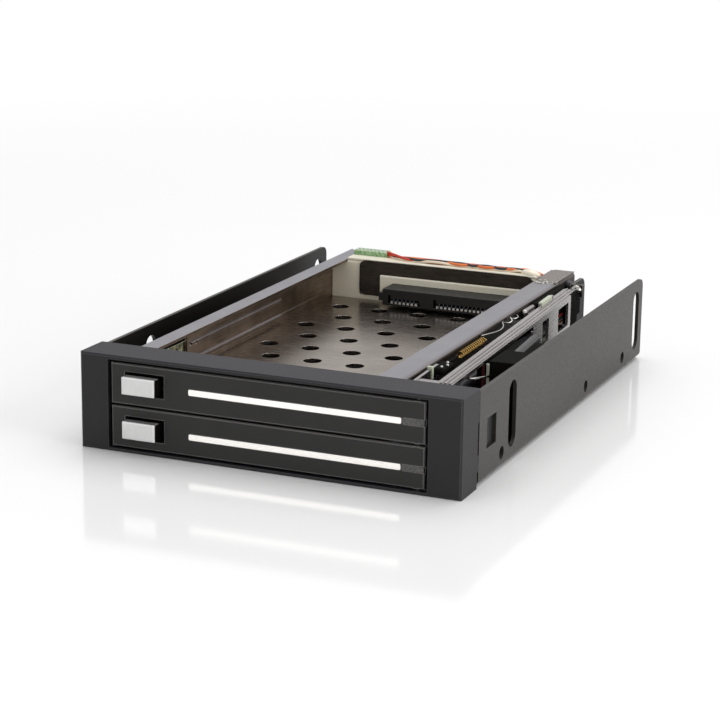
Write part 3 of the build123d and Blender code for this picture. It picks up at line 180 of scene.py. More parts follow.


# Each finish's edge colour is a painted highlight along its edges, and its upright colours are
# painted light and shade on upright faces
finishLooks = {
    # ABS moulded in a spark-eroded tool: an even dull charcoal, a touch violet where it faces up as
    # painted light, with a painted highlight along its edges
    "sparkErodedAbs": {
        "colour": "#242228", "shade": "#28262c", "upright": "#242425", "roughness": 0.52,
        "grain": (0.45, 0.45, 0.45), "depth": 0.02, "round": 0.25, "edge": "#6f6c70",
        "edgeShare": 0.5, "shader": {"Specular IOR Level": 0.25}},
    # The same ABS on the doors, a little warmer, with a brighter painted highlight along its edges
    "doorAbsPaintedEdges": {
        "colour": "#242322", "shade": "#292827", "roughness": 0.5, "grain": (0.45, 0.45, 0.45),
        "depth": 0.02, "round": 0.4, "edge": "#8d8b8a", "edgeShare": 0.9,
        "shader": {"Specular IOR Level": 0.3}},
    # Steel sheet with a satin black baked coat, a brown grey, with painted shade that makes the
    # left plate's upright faces black
    "bakedBlackSteel": {
        "colour": "#373432", "shade": "#403d3a", "roughness": 0.38, "grain": (0.6, 0.6, 0.6),
        "patch": 40, "fineShare": 0.2, "depth": 0.008, "strength": 0.15, "round": 0.15,
        "edge": "#8a8783", "edgeShare": 0.5, "zone": (-1, -44.0, "#141312", 0.0),
        "shader": {"Metallic": 0.43, "Specular IOR Level": 0.15}},
    # Black lacquer on the stop bracket, with a painted highlight along its edges
    "lacqueredSteel": {
        "colour": "#0b0b0a", "shade": "#121110", "roughness": 0.5, "round": 0.45, "edge": "#b3b1ab",
        "edgeShare": 0.85, "shader": {"Specular IOR Level": 0.2}},
    # Zinc-coated sheet rolled along its length: soft streaks, a violet grey where it faces up,
    # painted shade that makes it mottled brown where it is upright and nearly black outside the
    # right wall
    "rolledZincSteel": {
        "colour": "#87858b", "shade": "#929096", "upright": "#a08f7f", "uprightShade": "#6b5c4e",
        "roughness": 0.34, "patch": 9, "grain": (0.5, 11.0, 0.5), "fineShare": 0.45, "depth": 0.004,
        "strength": 0.15, "round": 0.15, "edge": "#e2dfe2", "zone": (1, 30.35, "#332b26", 0.7),
        "shader": {"Metallic": 1.0}},
    # Nickel-bright sheet, near a mirror, with a warm tint from what it reflects
    "brightShelfSteel": {
        "colour": "#a69c93", "shade": "#8b8178", "roughness": 0.25, "grain": (6.0, 0.4, 0.4),
        "patch": 22, "fineShare": 0.3, "depth": 0.005, "strength": 0.15, "round": 0.15,
        "edge": "#d8d2cc", "shader": {"Metallic": 1.0}},
    # Pressed stainless strip, brushed along its run
    "brushedSlideSteel": {
        "colour": "#a9a4a3", "shade": "#97918f", "roughness": 0.27, "spread": 0.02,
        "grain": (0.8, 14.0, 0.8), "patch": 24, "fineShare": 0.15, "depth": 0.002, "strength": 0.05,
        "round": 0.12, "edge": "#efecea", "shader": {"Metallic": 1.0}},
    # Zinc die casting, dull grey
    "dieCastZinc": {
        "colour": "#8f8e90", "shade": "#7c7b7d", "roughness": 0.4, "round": 0.15,
        "shader": {"Metallic": 1.0}},
    # Hardened spring strip, blued, in bright and dark spots; the bright ones are painted glints
    "bluedSpringSteel": {
        "colour": "#d9dcb4", "shade": "#33342a", "roughness": 0.25, "grain": (0.8, 0.8, 0.8),
        "fineShare": 0.9, "shader": {"Metallic": 1.0}},
    # Drawn brass wire, bright gold on the turns
    "drawnBrassWire": {
        "colour": "#c9a565", "shade": "#9a7838", "roughness": 0.22, "grain": (0.4, 0.4, 0.4),
        "round": 0.05, "shader": {"Metallic": 1.0}},
    # Tin-plated bronze of the contacts and joints, a pale grey
    "tinPlatedBronze": {
        "colour": "#c9c8c6", "shade": "#b0afae", "roughness": 0.3, "round": 0.05,
        "shader": {"Metallic": 0.8}},
    # Nickel-plated screws and clips, bright and a little uneven
    "nickelPlatedSteel": {
        "colour": "#bdbbb7", "shade": "#96948f", "roughness": 0.2, "grain": (0.7, 0.7, 0.7),
        "round": 0.08, "shader": {"Metallic": 1.0}},
    # Natural nylon, a waxy cream
    "naturalNylon": {
        "colour": "#e6e0cf", "shade": "#dcd5c1", "roughness": 0.45, "grain": (0.6, 0.6, 0.6),
        "round": 0.25, "edge": "#f4f1e8",
        "shader": {"Subsurface Weight": 0.05, "Subsurface Scale": 0.002}},
    # Glass-filled connector plastic, a flat near-black, with painted light that makes it paler and
    # warmer where it faces up
    "glassFilledBlack": {
        "colour": "#1e1d1a", "shade": "#262521", "upright": "#121211", "roughness": 0.5,
        "round": 0.1, "edge": "#55554f", "edgeShare": 0.5, "shader": {"Specular IOR Level": 0.35}},
    # Blue-black nylon of the ribs between the contacts
    "blueBlackNylon": {
        "colour": "#20242c", "shade": "#2b313b", "roughness": 0.4, "round": 0.05,
        "shader": {"Specular IOR Level": 0.4}},
    # Closed-cell foam, brown black and matt, with long streaks where it was cut
    "closedCellFoam": {
        "colour": "#211d18", "shade": "#3d362f", "roughness": 0.85, "grain": (3.5, 0.6, 0.5),
        "patch": 8, "depth": 0.12, "strength": 0.6, "round": 0.3,
        "shader": {"Specular IOR Level": 0.2}},
    # Acetal, a matt black on milled faces
    "milledAcetal": {
        "colour": "#0e0d0c", "shade": "#151412", "roughness": 0.7, "round": 0.25, "edge": "#33312f",
        "edgeShare": 0.4, "shader": {"Specular IOR Level": 0.03}},
    # Acetal turned to a slick black
    "turnedAcetal": {
        "colour": "#1b1b1d", "shade": "#27272a", "roughness": 0.3, "round": 0.25, "edge": "#4b4a4b",
        "edgeShare": 0.4, "shader": {"Specular IOR Level": 0.35}},
    # Pale green nylon of the pads, tabs and strip beside the slides
    "paleNylon": {
        "colour": "#c3c9b4", "shade": "#b2b9a2", "roughness": 0.45, "grain": (0.7, 0.7, 0.7),
        "round": 0.15, "edge": "#e3e6d8"},
    # Plastic with a satin chrome plate: the cap of a push button
    "satinChromePlate": {
        "colour": "#cfcfce", "shade": "#c9c9c8", "roughness": 0.34, "grain": (0.5, 0.5, 2.5),
        "depth": 0.002, "strength": 0.1, "round": 0.4, "edge": "#ffffff", "edgeShare": 1.0,
        "shader": {"Metallic": 0.75}},
    # Hot-stamped silver foil on a raised bar, nearly white
    "hotStampedSilver": {
        "colour": "#fffdf9", "shade": "#fdf8f3", "roughness": 0.3, "grain": (5.0, 0.4, 0.4),
        "depth": 0.003, "strength": 0.1, "round": 0.1, "shader": {"Metallic": 0.85}},
    # Smoked acrylic with fine upright ribs, and paler streaks that are painted light scattered by
    # the ribs
    "smokedAcrylic": {
        "colour": "#1b1a1a", "shade": "#4c4a48", "roughness": 0.16, "spread": 0.04,
        "fineShare": 1.0, "grain": (0.35, 1.0, 0.5), "depth": 0.05, "strength": 0.6, "round": 0.15,
        "edge": "#75726e", "edgeShare": 0.5, "shader": {"IOR": 1.49, "Coat Weight": 0.4}},
    # Clear epoxy of a lamp
    "clearEpoxy": {
        "colour": "#eef0ee", "shade": "#e4e8e6", "roughness": 0.06, "spread": 0.02, "round": 0.1,
        "shader": {"IOR": 1.54, "Transmission Weight": 0.9}},
    # Soft vinyl over stranded wire
    "redVinyl": {
        "colour": "#d0391f", "shade": "#bd2c18", "roughness": 0.4, "grain": (1.5, 1.5, 1.5)},
    "blackVinyl": {
        "colour": "#232029", "shade": "#2d2935", "roughness": 0.38, "grain": (1.5, 1.5, 1.5)},
    "orangeVinyl": {
        "colour": "#ef8241", "shade": "#e66f2e", "roughness": 0.4, "grain": (1.5, 1.5, 1.5)},
    "whiteVinyl": {
        "colour": "#f1e3d0", "shade": "#ecd6bb", "roughness": 0.4, "grain": (1.5, 1.5, 1.5)},
    # Hot-melt glue: milky, with a soft shine
    "hotMeltGlue": {
        "colour": "#efe9d8", "shade": "#e4dcc6", "roughness": 0.28, "grain": (0.9, 0.9, 0.9),
        "depth": 0.1, "strength": 0.4,
        "shader": {"Subsurface Weight": 0.25, "Subsurface Scale": 0.001}},
    # Phosphated steel, matt with an open grain: warm grey where it faces up, and painted shade that
    # makes it dark brown upright
    "phosphatedSteel": {
        "colour": "#8b8480", "shade": "#736c68", "upright": "#3a332e", "roughness": 0.62,
        "grain": (0.45, 0.45, 0.45), "fineShare": 0.8, "depth": 0.12, "strength": 0.6,
        "edge": "#b5afa9", "edgeShare": 0.35, "shader": {"Metallic": 0.4}},
    # Torn aluminium foil of a shield, in white specks
    "tornFoil": {
        "colour": "#f4f1ea", "shade": "#8d857c", "roughness": 0.3, "grain": (0.4, 0.4, 0.4),
        "fineShare": 0.9, "shader": {"Metallic": 0.5}},
    # Dark red silicone rubber
    "redSilicone": {"colour": "#5a1a16", "shade": "#431411", "roughness": 0.5},
    # Green solder mask over glass cloth
    "greenSolderMask": {
        "colour": "#5d8a50", "shade": "#a9c39a", "roughness": 0.3, "grain": (0.8, 0.8, 0.8),
        "fineShare": 0.8, "edge": "#d3dcb4", "edgeShare": 0.8},
}
for finishName, finishLook in finishLooks.items():
    makeFinish(finishName, finishLook)
print("finishes:", len(finishes))


# Which finish each solid takes
nodeFinishes = {
    "sparkErodedAbs": ["bezel"],
    "doorAbsPaintedEdges": ["door_lower", "door_upper"],
    "bakedBlackSteel": ["chassis"],
    "lacqueredSteel": ["stop_bracket"],
    "rolledZincSteel": ["inner_cage"],
    "brightShelfSteel": ["drive_shelf"],
    "brushedSlideSteel": ["ejector_slide_lower", "ejector_slide_upper"],
    "dieCastZinc": ["door_crank_lower", "door_crank_upper"],
    "bluedSpringSteel": [
        "latch_leaf_lower", "latch_leaf_upper", "door_hook_lower", "door_hook_upper"],
    "drawnBrassWire": [
        "slide_spring_lower", "slide_spring_upper", "button_spring_lower", "button_spring_upper"],
    "tinPlatedBronze": ["connector_contacts_lower", "connector_contacts_upper"],
    "nickelPlatedSteel": ["floor_screws", "board_screws", "stop_screw", "leaf_rivets", "hinge_pin"],
    "naturalNylon": [
        "connector_frame", "connector_seat_lower", "connector_seat_upper", "board_header"],
    "closedCellFoam": ["connector_gasket_lower", "connector_gasket_upper"],
    "glassFilledBlack": [
        "drive_connector_lower", "drive_connector_upper", "data_socket_lower", "data_socket_upper",
        "power_socket"],
    "milledAcetal": ["slide_guide", "ejector_foot_lower", "ejector_foot_upper"],
    "satinChromePlate": ["button_lower", "button_upper"],
    "hotStampedSilver": ["door_strip_lower", "door_strip_upper"],
    "smokedAcrylic": ["lamp_lens_lower", "lamp_lens_upper"],
    "clearEpoxy": ["status_lamps"],
    "redVinyl": ["lead_red"],
    "blackVinyl": ["lead_black"],
    "orangeVinyl": ["lead_orange"],
    "hotMeltGlue": ["glue_blob"],
    "phosphatedSteel": ["cage_end_bracket"],
    "greenSolderMask": ["backplane_board", "lamp_board"],
}
for finishName, nodeNames in nodeFinishes.items():
    for nodeName in nodeNames:
        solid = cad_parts[nodeName]
        if not solid.material_slots:
            solid.data.materials.append(finishes[finishName])
        for slot in solid.material_slots:
            slot.material = finishes[finishName]
print("solids finished:", sum(map(len, nodeFinishes.values())), "of", len(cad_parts))


def linkObject(name, data):
    made = bpy.data.objects.new(name, data)
    bpy.context.scene.collection.objects.link(made)
    return made


def plainMesh(holder):  # what a modifier or a curve makes, as a mesh; its object goes
    depsgraph = bpy.context.evaluated_depsgraph_get()
    made = bpy.data.meshes.new_from_object(holder.evaluated_get(depsgraph))
    bpy.data.objects.remove(holder)
    return made


def keepMesh(name, whole):
    made = bpy.data.meshes.new(name)
    whole.to_mesh(made)
    whole.free()
    return made


def addPiece(name, mesh, *finishNames, body="cage", replaced=(), slotName=None, smooth=True):
    piece = linkObject(name, mesh)
    if not mesh.materials:
        for each in finishNames:
            mesh.materials.append(finishes[each])
    for face in mesh.polygons:
        face.use_smooth = smooth
    if body:
        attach(piece, body)
    if replaced:
        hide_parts(*replaced)
    return piece


def turnTo(start, end):  # lays a piece's z axis from start to end
    along = (end - start).normalized()
    return Matrix.Translation(start) @ along.to_track_quat("Z", "Y").to_matrix().to_4x4()


def curveMesh(name, paths, radius, kind="NURBS", lift=0.0):  # round wires along points, all in mm
    data = bpy.data.curves.new(name, "CURVE")
    data.dimensions = "3D"
    data.bevel_depth = radius / metre
    data.bevel_resolution = 3
    data.use_fill_caps = True
    data.resolution_u = 8
    for points in paths:
        spline = data.splines.new(kind)
        spline.points.add(len(points) - 1)
        for point, (x, behind, z) in zip(spline.points, points):
            point.co = (*place(x, behind, z + lift), 1)
        if kind == "NURBS":
            spline.order_u = 3
            spline.use_endpoint_u = True
    made = plainMesh(linkObject(name, data))
    bpy.data.curves.remove(data)
    return made


def joinMeshes(name, meshes):
    whole = bmesh.new()
    for part in meshes:
        whole.from_mesh(part)
    return keepMesh(name, whole)


def boxMesh(low, high, radius, lift=0.0, which=0, segments=2):  # corners and rounding in mm
    whole = bmesh.new()
    bmesh.ops.create_cube(whole, size=1)
    start, end = place(*low[:2], low[2] + lift), place(*high[:2], high[2] + lift)
    for corner in whole.verts:
        corner.co = Vector([
            start[i] + (end[i] - start[i]) * (corner.co[i] + 0.5) for i in range(3)])
    bmesh.ops.bevel(
        whole, geom=whole.edges[:], offset=radius / metre, segments=segments, profile=0.5,
        affect="EDGES")
    for face in whole.faces:
        face.material_index = which
    return keepMesh("box", whole)


def ballMesh(name, spots, radius, segments, rings):  # small balls, in mm
    whole = bmesh.new()
    for spot in spots:
        bmesh.ops.create_uvsphere(
            whole, u_segments=segments, v_segments=rings, radius=radius / metre,
            matrix=Matrix.Translation(place(*spot)))
    return keepMesh(name, whole)


def slabMesh(name, rings, torn=0):  # fills between two rings; the first few sides can be torn ones
    whole = bmesh.new()
    near, far = [[whole.verts.new(spot) for spot in ring] for ring in rings]
    whole.faces.new(near)
    whole.faces.new(far)
    for i in range(len(near)):
        j = (i + 1) % len(near)
        side = whole.faces.new((near[i], near[j], far[j], far[i]))
        side.material_index = 1 if i < torn else 0
    bmesh.ops.recalc_face_normals(whole, faces=whole.faces[:])
    return keepMesh(name, whole)


def newTree(name, inputs):  # an empty geometry tree with the named inputs
    tree = bpy.data.node_groups.new(name, "GeometryNodeTree")
    tree.interface.new_socket("Geometry", in_out="INPUT", socket_type="NodeSocketGeometry")
    for label, (kind, value) in inputs.items():
        socket = tree.interface.new_socket(label, in_out="INPUT", socket_type=kind)
        if value is not None:
            socket.default_value = value
    tree.interface.new_socket("Geometry", in_out="OUTPUT", socket_type="NodeSocketGeometry")
    return tree, addNode(tree, "NodeGroupInput").outputs


def closeTree(tree, geometry, material):
    real = addNode(tree, "GeometryNodeRealizeInstances", {"Geometry": geometry})
    painted = addNode(tree, "GeometryNodeSetMaterial", {
        "Geometry": real.outputs["Geometry"], "Material": material})
    addNode(tree, "NodeGroupOutput", {"Geometry": painted.outputs["Geometry"]})


def growMesh(tree, values, base=None):  # the mesh that a tree makes, from a base mesh or from none
    holder = linkObject("holder", base or bpy.data.meshes.new("holder"))
    modifier = holder.modifiers.new("grown", "NODES")
    modifier.node_group = tree
    sockets = {s.name: s.identifier for s in tree.interface.items_tree if s.in_out == "INPUT"}
    for label, value in values.items():
        modifier[sockets[label]] = value
    return plainMesh(holder)


# A coil of wire: a helix with a round section
coilTree, coilIn = newTree("coil", {
    "Turns": ("NodeSocketFloat", 10.0), "Radius": ("NodeSocketFloat", 0.001),
    "Length": ("NodeSocketFloat", 0.02), "Wire Radius": ("NodeSocketFloat", 0.0002),
    "Points Each Turn": ("NodeSocketInt", 14), "Sides": ("NodeSocketInt", 8),
    "Material": ("NodeSocketMaterial", None)})
helix = addNode(coilTree, "GeometryNodeCurveSpiral", {
    "Resolution": coilIn["Points Each Turn"], "Rotations": coilIn["Turns"],
    "Start Radius": coilIn["Radius"], "End Radius": coilIn["Radius"], "Height": coilIn["Length"]})
section = addNode(coilTree, "GeometryNodeCurvePrimitiveCircle", {
    "Resolution": coilIn["Sides"], "Radius": coilIn["Wire Radius"]})
wound = addNode(coilTree, "GeometryNodeCurveToMesh", {
    "Curve": helix.outputs["Curve"], "Profile Curve": section.outputs["Curve"], "Fill Caps": True})
closeTree(coilTree, wound.outputs["Mesh"], coilIn["Material"])

# A row: one shape repeated by a step
rowTree, rowIn = newTree("row", {
    "Count": ("NodeSocketInt", 7), "Step": ("NodeSocketVector", (0.00127, 0, 0)),
    "Material": ("NodeSocketMaterial", None)})
line = addNode(rowTree, "GeometryNodeMeshLine", {
    "Count": rowIn["Count"], "Offset": rowIn["Step"]}, mode="OFFSET")
repeated = addNode(rowTree, "GeometryNodeInstanceOnPoints", {
    "Points": line.outputs["Mesh"], "Instance": rowIn["Geometry"]})
closeTree(rowTree, repeated.outputs["Instances"], rowIn["Material"])

# Screw heads: a dome with a cross cut in its top, on each point
screwTree, screwIn = newTree("screw", {
    "Head Radius": ("NodeSocketFloat", 0.0018), "Head Height": ("NodeSocketFloat", 0.001),
    "Recess Width": ("NodeSocketFloat", 0.0005), "Recess Depth": ("NodeSocketFloat", 0.0006),
    "Material": ("NodeSocketMaterial", None)})
dome = addNode(screwTree, "GeometryNodeMeshUVSphere", {"Segments": 24, "Rings": 12, "Radius": 1.0})
spreadOut = addNode(screwTree, "ShaderNodeCombineXYZ", {
    "X": screwIn["Head Radius"], "Y": screwIn["Head Radius"], "Z": screwIn["Head Height"]})
head = addNode(screwTree, "GeometryNodeTransform", {
    "Geometry": dome.outputs["Mesh"], "Scale": spreadOut.outputs["Vector"]})
reach = addNode(screwTree, "ShaderNodeMath", {
    0: screwIn["Head Radius"], 1: 1.25}, operation="MULTIPLY")  # an arm leaves the dome's side
tall = addNode(screwTree, "ShaderNodeMath", {
    0: screwIn["Recess Depth"], 1: 2.0}, operation="MULTIPLY")  # half of it stands above the dome
raised = addNode(screwTree, "ShaderNodeCombineXYZ", {"Z": screwIn["Head Height"]})
recessed = addNode(screwTree, "GeometryNodeMeshBoolean", {
    "Mesh 1": head.outputs["Geometry"]}, operation="DIFFERENCE")
for first, second in (("X", "Y"), ("Y", "X")):
    size = addNode(screwTree, "ShaderNodeCombineXYZ", {
        first: reach.outputs["Value"], second: screwIn["Recess Width"],
        "Z": tall.outputs["Value"]})
    bar = addNode(screwTree, "GeometryNodeMeshCube", {"Size": size.outputs["Vector"]})
    arm = addNode(screwTree, "GeometryNodeTransform", {
        "Geometry": bar.outputs["Mesh"], "Translation": raised.outputs["Vector"]})
    screwTree.links.new(arm.outputs["Geometry"], recessed.inputs["Mesh 2"])
screwed = addNode(screwTree, "GeometryNodeInstanceOnPoints", {
    "Points": screwIn["Geometry"], "Instance": recessed.outputs["Mesh"]})
closeTree(screwTree, screwed.outputs["Instances"], screwIn["Material"])


def windCoil(sizes, front, back):  # brass turns from front to back
    coil = growMesh(coilTree, {
        "Turns": float(sizes["turns"]), "Radius": sizes["radius"] / metre,
        "Length": (back - front).length, "Wire Radius": sizes["wire"] / metre,
        "Material": finishes["drawnBrassWire"]})
    coil.transform(turnTo(front, back))
    return coil


# Tension springs of the slides: brass turns with a long hook in front and a short one behind.
# A hook's points are steps from that end of the coil's axis, and its tip's are places
springSizes = {
    "x": 32.45, "z": 11.1, "front": 46.0, "back": 63.0, "turns": 14, "radius": 0.78, "wire": 0.13,
    "frontHook": ((0.78, 0), (0.78, -0.8), (0.1, -1.8), (0.0, -8.0), (0.1, -14.0)),
    "frontTip": ((32.15, 30.0), (31.35, 30.0), (31.1, 30.7)),
    "backHook": ((0.78, 0), (0.78, 0.8), (0.0, 1.6)),
    "backTip": ((31.45, 65.1), (30.0, 65.2), (29.7, 65.1))}
for bay, lift in bays.items():
    s = springSizes
    front = place(s["x"], s["front"], s["z"] + lift)
    back = place(s["x"], s["back"], s["z"] + lift)
    hooks = []
    for end in ("front", "back"):
        hook = [(s["x"] + dx, s[end] + dy, s["z"]) for dx, dy in s[f"{end}Hook"]]
        hooks.append(hook + [(x, behind, s["z"]) for x, behind in s[f"{end}Tip"]])
    parts = [windCoil(s, front, back), curveMesh("hooks", hooks, s["wire"], lift=lift)]
    spring = addPiece(
        f"tension_spring_{bay}", joinMeshes(f"tension_spring_{bay}", parts), "drawnBrassWire",
        body=None, replaced=[f"slide_spring_{bay}"], slotName="brass_wire")
    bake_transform(spring)
print("tension springs wound")


# Catches at the front of the slides: a sleeve on the spring's hook, a tab, and a clip with pins
catchSizes = {
    "sleeve": ((32.5, 44.2, 11.1), (32.15, 31.6, 11.1)), "sleeveRadius": 0.36,
    "tab": ((30.95, 27.3, 9.2), (32.4, 28.3, 12.5), 0.15),
    "clip": ((31.0, 29.4, 9.9), (34.6, 37.0, 11.75), 0.7),
    "pins": ((33.4, 31.0), (34.1, 33.2), (33.2, 35.6)), "pinRadius": 0.42, "pinTop": 11.7}
for bay, lift in bays.items():
    s = catchSizes
    sleeve = curveMesh("sleeve", [s["sleeve"]], s["sleeveRadius"], "POLY", lift)
    addPiece(
        f"slide_clip_{bay}", joinMeshes("clip", [boxMesh(*s["clip"], lift), sleeve]),
        "milledAcetal", body=f"slide_{bay}", smooth=False)
    addPiece(
        f"slide_tab_{bay}", boxMesh(*s["tab"], lift), "paleNylon", body=f"slide_{bay}",
        smooth=False)
    pins = [(x, behind, s["pinTop"] + lift) for x, behind in s["pins"]]
    addPiece(
        f"slide_pins_{bay}", ballMesh("pins", pins, s["pinRadius"], segments=14, rings=10),
        "nickelPlatedSteel", body=f"slide_{bay}")
print("catches fitted")


# Bright wire that holds each spring's rear hook, and the steel nose and black cover behind it
anchorSizes = {
    "wire": 0.2, "path": (
        (30.6, 66.9, 11.2), (31.6, 68.8, 11.3), (33.0, 74.4, 11.1), (32.9, 78.0, 11.5),
        (31.3, 80.6, 12.1), (31.6, 83.4, 11.0), (33.0, 84.9, 11.3), (31.5, 86.4, 12.2),
        (31.3, 88.4, 11.0), (32.7, 90.2, 11.2), (31.6, 92.2, 11.4), (30.5, 93.4, 11.2)),
    "cover": ((30.65, 105.5, 8.85), (32.9, 130.0, 11.9), 0.9),
    "nose": ((30.65, 97.5, 8.4), (32.5, 105.7, 11.6), 0.85), "segments": 4}
for bay, lift in bays.items():
    s = anchorSizes
    wire = f"anchor_wire_{bay}"
    addPiece(wire, curveMesh(wire, [s["path"]], s["wire"], lift=lift), "nickelPlatedSteel")
    for part, finish in (("cover", "milledAcetal"), ("nose", "brushedSlideSteel")):
        addPiece(f"slide_{part}_{bay}", boxMesh(*s[part], lift, segments=s["segments"]), finish)
print("anchors fitted")


# Rear of the slides: the ribbed strip carried on to the end of the wall, and the pad beside it.
# Both are drawn along the slide's own line, which starts at front and mid and is turned by tilt
tailSizes = {
    "front": 17.0, "mid": 39.55, "tilt": 2.2, "start": 103.55, "end": 110.45, "round": 0.06,
    "strip": (-2.1, 1.3, 10.85, 11.65), "ribs": (-0.945, 0.21, 1.302), "ribHalf": 0.3,
    "ribBottom": 11.55, "ribTop": 11.9,
    "pad": (-2.25, -1.15, 11.67, 12.95), "padStart": 86.0, "padEnd": 95.6, "padRound": 0.12}
for bay, lift in bays.items():
    s = tailSizes
    laid = (Matrix.Translation(place(s["mid"], s["front"], lift))
            @ Matrix.Rotation(math.radians(s["tilt"]), 4, "Z"))
    start, end = s["start"] - bezelFace, s["end"] - bezelFace
    strips = [s["strip"]] + [
        (rib - s["ribHalf"], rib + s["ribHalf"], s["ribBottom"], s["ribTop"]) for rib in s["ribs"]]
    tail = joinMeshes(f"slide_tail_{bay}", [
        boxMesh((left, start, bottom), (right, end, top), s["round"])
        for left, right, bottom, top in strips])
    left, right, bottom, top = s["pad"]
    pad = boxMesh((left, s["padStart"] - bezelFace, bottom), (right, s["padEnd"] - bezelFace, top),
                  s["padRound"])
    for part, mesh, finish in (("tail", tail, "brushedSlideSteel"), ("pad", pad, "paleNylon")):
        mesh.transform(laid)
        addPiece(f"slide_{part}_{bay}", mesh, finish, body=f"slide_{bay}", smooth=False)
print("slide ends made")


# Compression springs of the buttons, between each door and its button
buttonSpringSizes = {
    "x": -33.45, "z": 6.6, "front": 3.4, "back": 7.3, "turns": 5, "radius": 1.25, "wire": 0.2}
for bay, lift in bays.items():
    s = buttonSpringSizes
    front = place(s["x"], s["front"] + s["wire"], s["z"] + lift)
    back = place(s["x"], s["back"] - s["wire"], s["z"] + lift)
    spring = addPiece(
        f"press_spring_{bay}", windCoil(s, front, back), body=None,
        replaced=[f"button_spring_{bay}"], slotName="spring_steel")
    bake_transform(spring)
print("button springs wound")


# Push buttons: a silver face with a lip on top, on a black stem with its flange and spring post
buttonSizes = {  # two corners, the rounding, and which of the two finishes
    "face": ((-38.0, -2.3, 4.35), (-28.9, -1.7, 8.85), 0.28, 0),
    "lip": ((-37.85, -2.0, 8.2), (-29.05, 0.2, 8.82), 0.12, 0),
    "stem": ((-37.95, -1.9, 4.4), (-28.95, 2.5, 8.7), 0.3, 1),
    "flange": ((-39.0, 2.42, 3.15), (-26.9, 3.38, 10.15), 0.1, 1),
    "post": ((-34.1, 3.3, 5.95), (-32.8, 5.75, 7.25), 0.3, 1)}
for bay, lift in bays.items():
    boxes = [boxMesh(low, high, radius, lift, which)
             for low, high, radius, which in buttonSizes.values()]
    addPiece(
        f"push_button_{bay}", joinMeshes(f"push_button_{bay}", boxes), "satinChromePlate",
        "milledAcetal", body=f"button_{bay}", replaced=[f"button_{bay}"], slotName="silver_trim",
        smooth=False)
print("buttons made")


# Contacts of the drive connectors in rows of 7 and 15, and the ribs between them
contactSizes = {
    "rows": ((-17.9, 7), (-3.6, 15)), "pitch": 1.27,  # each row's first contact across, and count
    "row": {  # an outline behind the face and up, in the upper bay
        "finish": "tinPlatedBronze", "width": 0.72, "shift": 0.0, "fewer": 0,
        "outline": (
            (123.1, 14.16), (124.85, 14.16), (124.85, 14.45), (123.9, 14.95), (123.1, 14.8))},
    "ribs": {
        "finish": "blueBlackNylon", "width": 0.28, "shift": 0.635, "fewer": 1,
        "outline": ((123.05, 14.9), (124.85, 14.9), (124.85, 15.74), (123.3, 15.74))}}
for bay, lift in bays.items():
    rise = lift - bays["upper"]
    for part in ("row", "ribs"):
        s = contactSizes[part]
        rows = []
        for first, count in contactSizes["rows"]:
            middle = first + s["shift"]
            base = slabMesh("contact", [
                [place(x, behind, z + rise) for behind, z in s["outline"]]
                for x in (middle - s["width"] / 2, middle + s["width"] / 2)])
            rows.append(growMesh(rowTree, {
                "Count": count - s["fewer"], "Step": (contactSizes["pitch"] / metre, 0, 0),
                "Material": finishes[s["finish"]]}, base))
        name = f"contact_{part}_{bay}"
        standsFor = {} if part == "ribs" else {
            "replaced": [f"connector_contacts_{bay}"], "slotName": "contact_gold"}
        addPiece(name, joinMeshes(name, rows), s["finish"], smooth=False, **standsFor)
print("contacts made")


# Screws with cross recesses: the stop bracket's, and those of the board. Each seat is a point, the
# dome is cut off a little in front of it, and the shank reaches a little into the dome
screwSizes = {
    "stop_screw": {
        "seats": [(36.5, 129.1, 22.4)], "toward": (0, -1, 0), "head": (1.7, 1.2),
        "recess": (0.55, 0.65), "shank": (0.88, 2.4), "cut": 0.02, "overlap": 0.05},
    "board_screws": {
        "seats": [(-33.0, 138.1, 5.6), (26.0, 138.1, 5.6)], "toward": (0, 1, 0),
        "head": (2.0, 1.15), "recess": (0.55, 0.65), "shank": (1.03, 1.55), "cut": 0.02,
        "overlap": 0.05}}
for node, s in screwSizes.items():
    toward = Vector(s["toward"])
    turn = toward.to_track_quat("Z", "Y").to_matrix().to_4x4()
    seats = [place(*spot) for spot in s["seats"]]
    points = bpy.data.meshes.new("points")
    points.from_pydata([turn.inverted() @ seat for seat in seats], [], [])
    heads = growMesh(screwTree, {
        "Head Radius": s["head"][0] / metre, "Head Height": s["head"][1] / metre,
        "Recess Width": s["recess"][0] / metre, "Recess Depth": s["recess"][1] / metre,
        "Material": finishes["nickelPlatedSteel"]}, points)
    heads.transform(turn)
    whole = bmesh.new()
    whole.from_mesh(heads)
    bmesh.ops.bisect_plane(
        whole, geom=whole.verts[:] + whole.edges[:] + whole.faces[:],
        plane_co=seats[0] + toward * s["cut"] / metre, plane_no=toward, clear_inner=True)
    bmesh.ops.holes_fill(whole, edges=[e for e in whole.edges if len(e.link_faces) == 1])
    shankRadius, shankLength = s["shank"]
    for seat in seats:
        middle = seat - toward * (shankLength / 2 - s["overlap"]) / metre
        bmesh.ops.create_cone(
            whole, cap_ends=True, segments=20, radius1=shankRadius / metre,
            radius2=shankRadius / metre, depth=shankLength / metre,
            matrix=Matrix.Translation(middle) @ turn)
    bmesh.ops.recalc_face_normals(whole, faces=whole.faces[:])
    addPiece(f"{node}_made", keepMesh(node, whole), "nickelPlatedSteel", replaced=[node],
             slotName="screw_steel", smooth=False)
print("screws made")


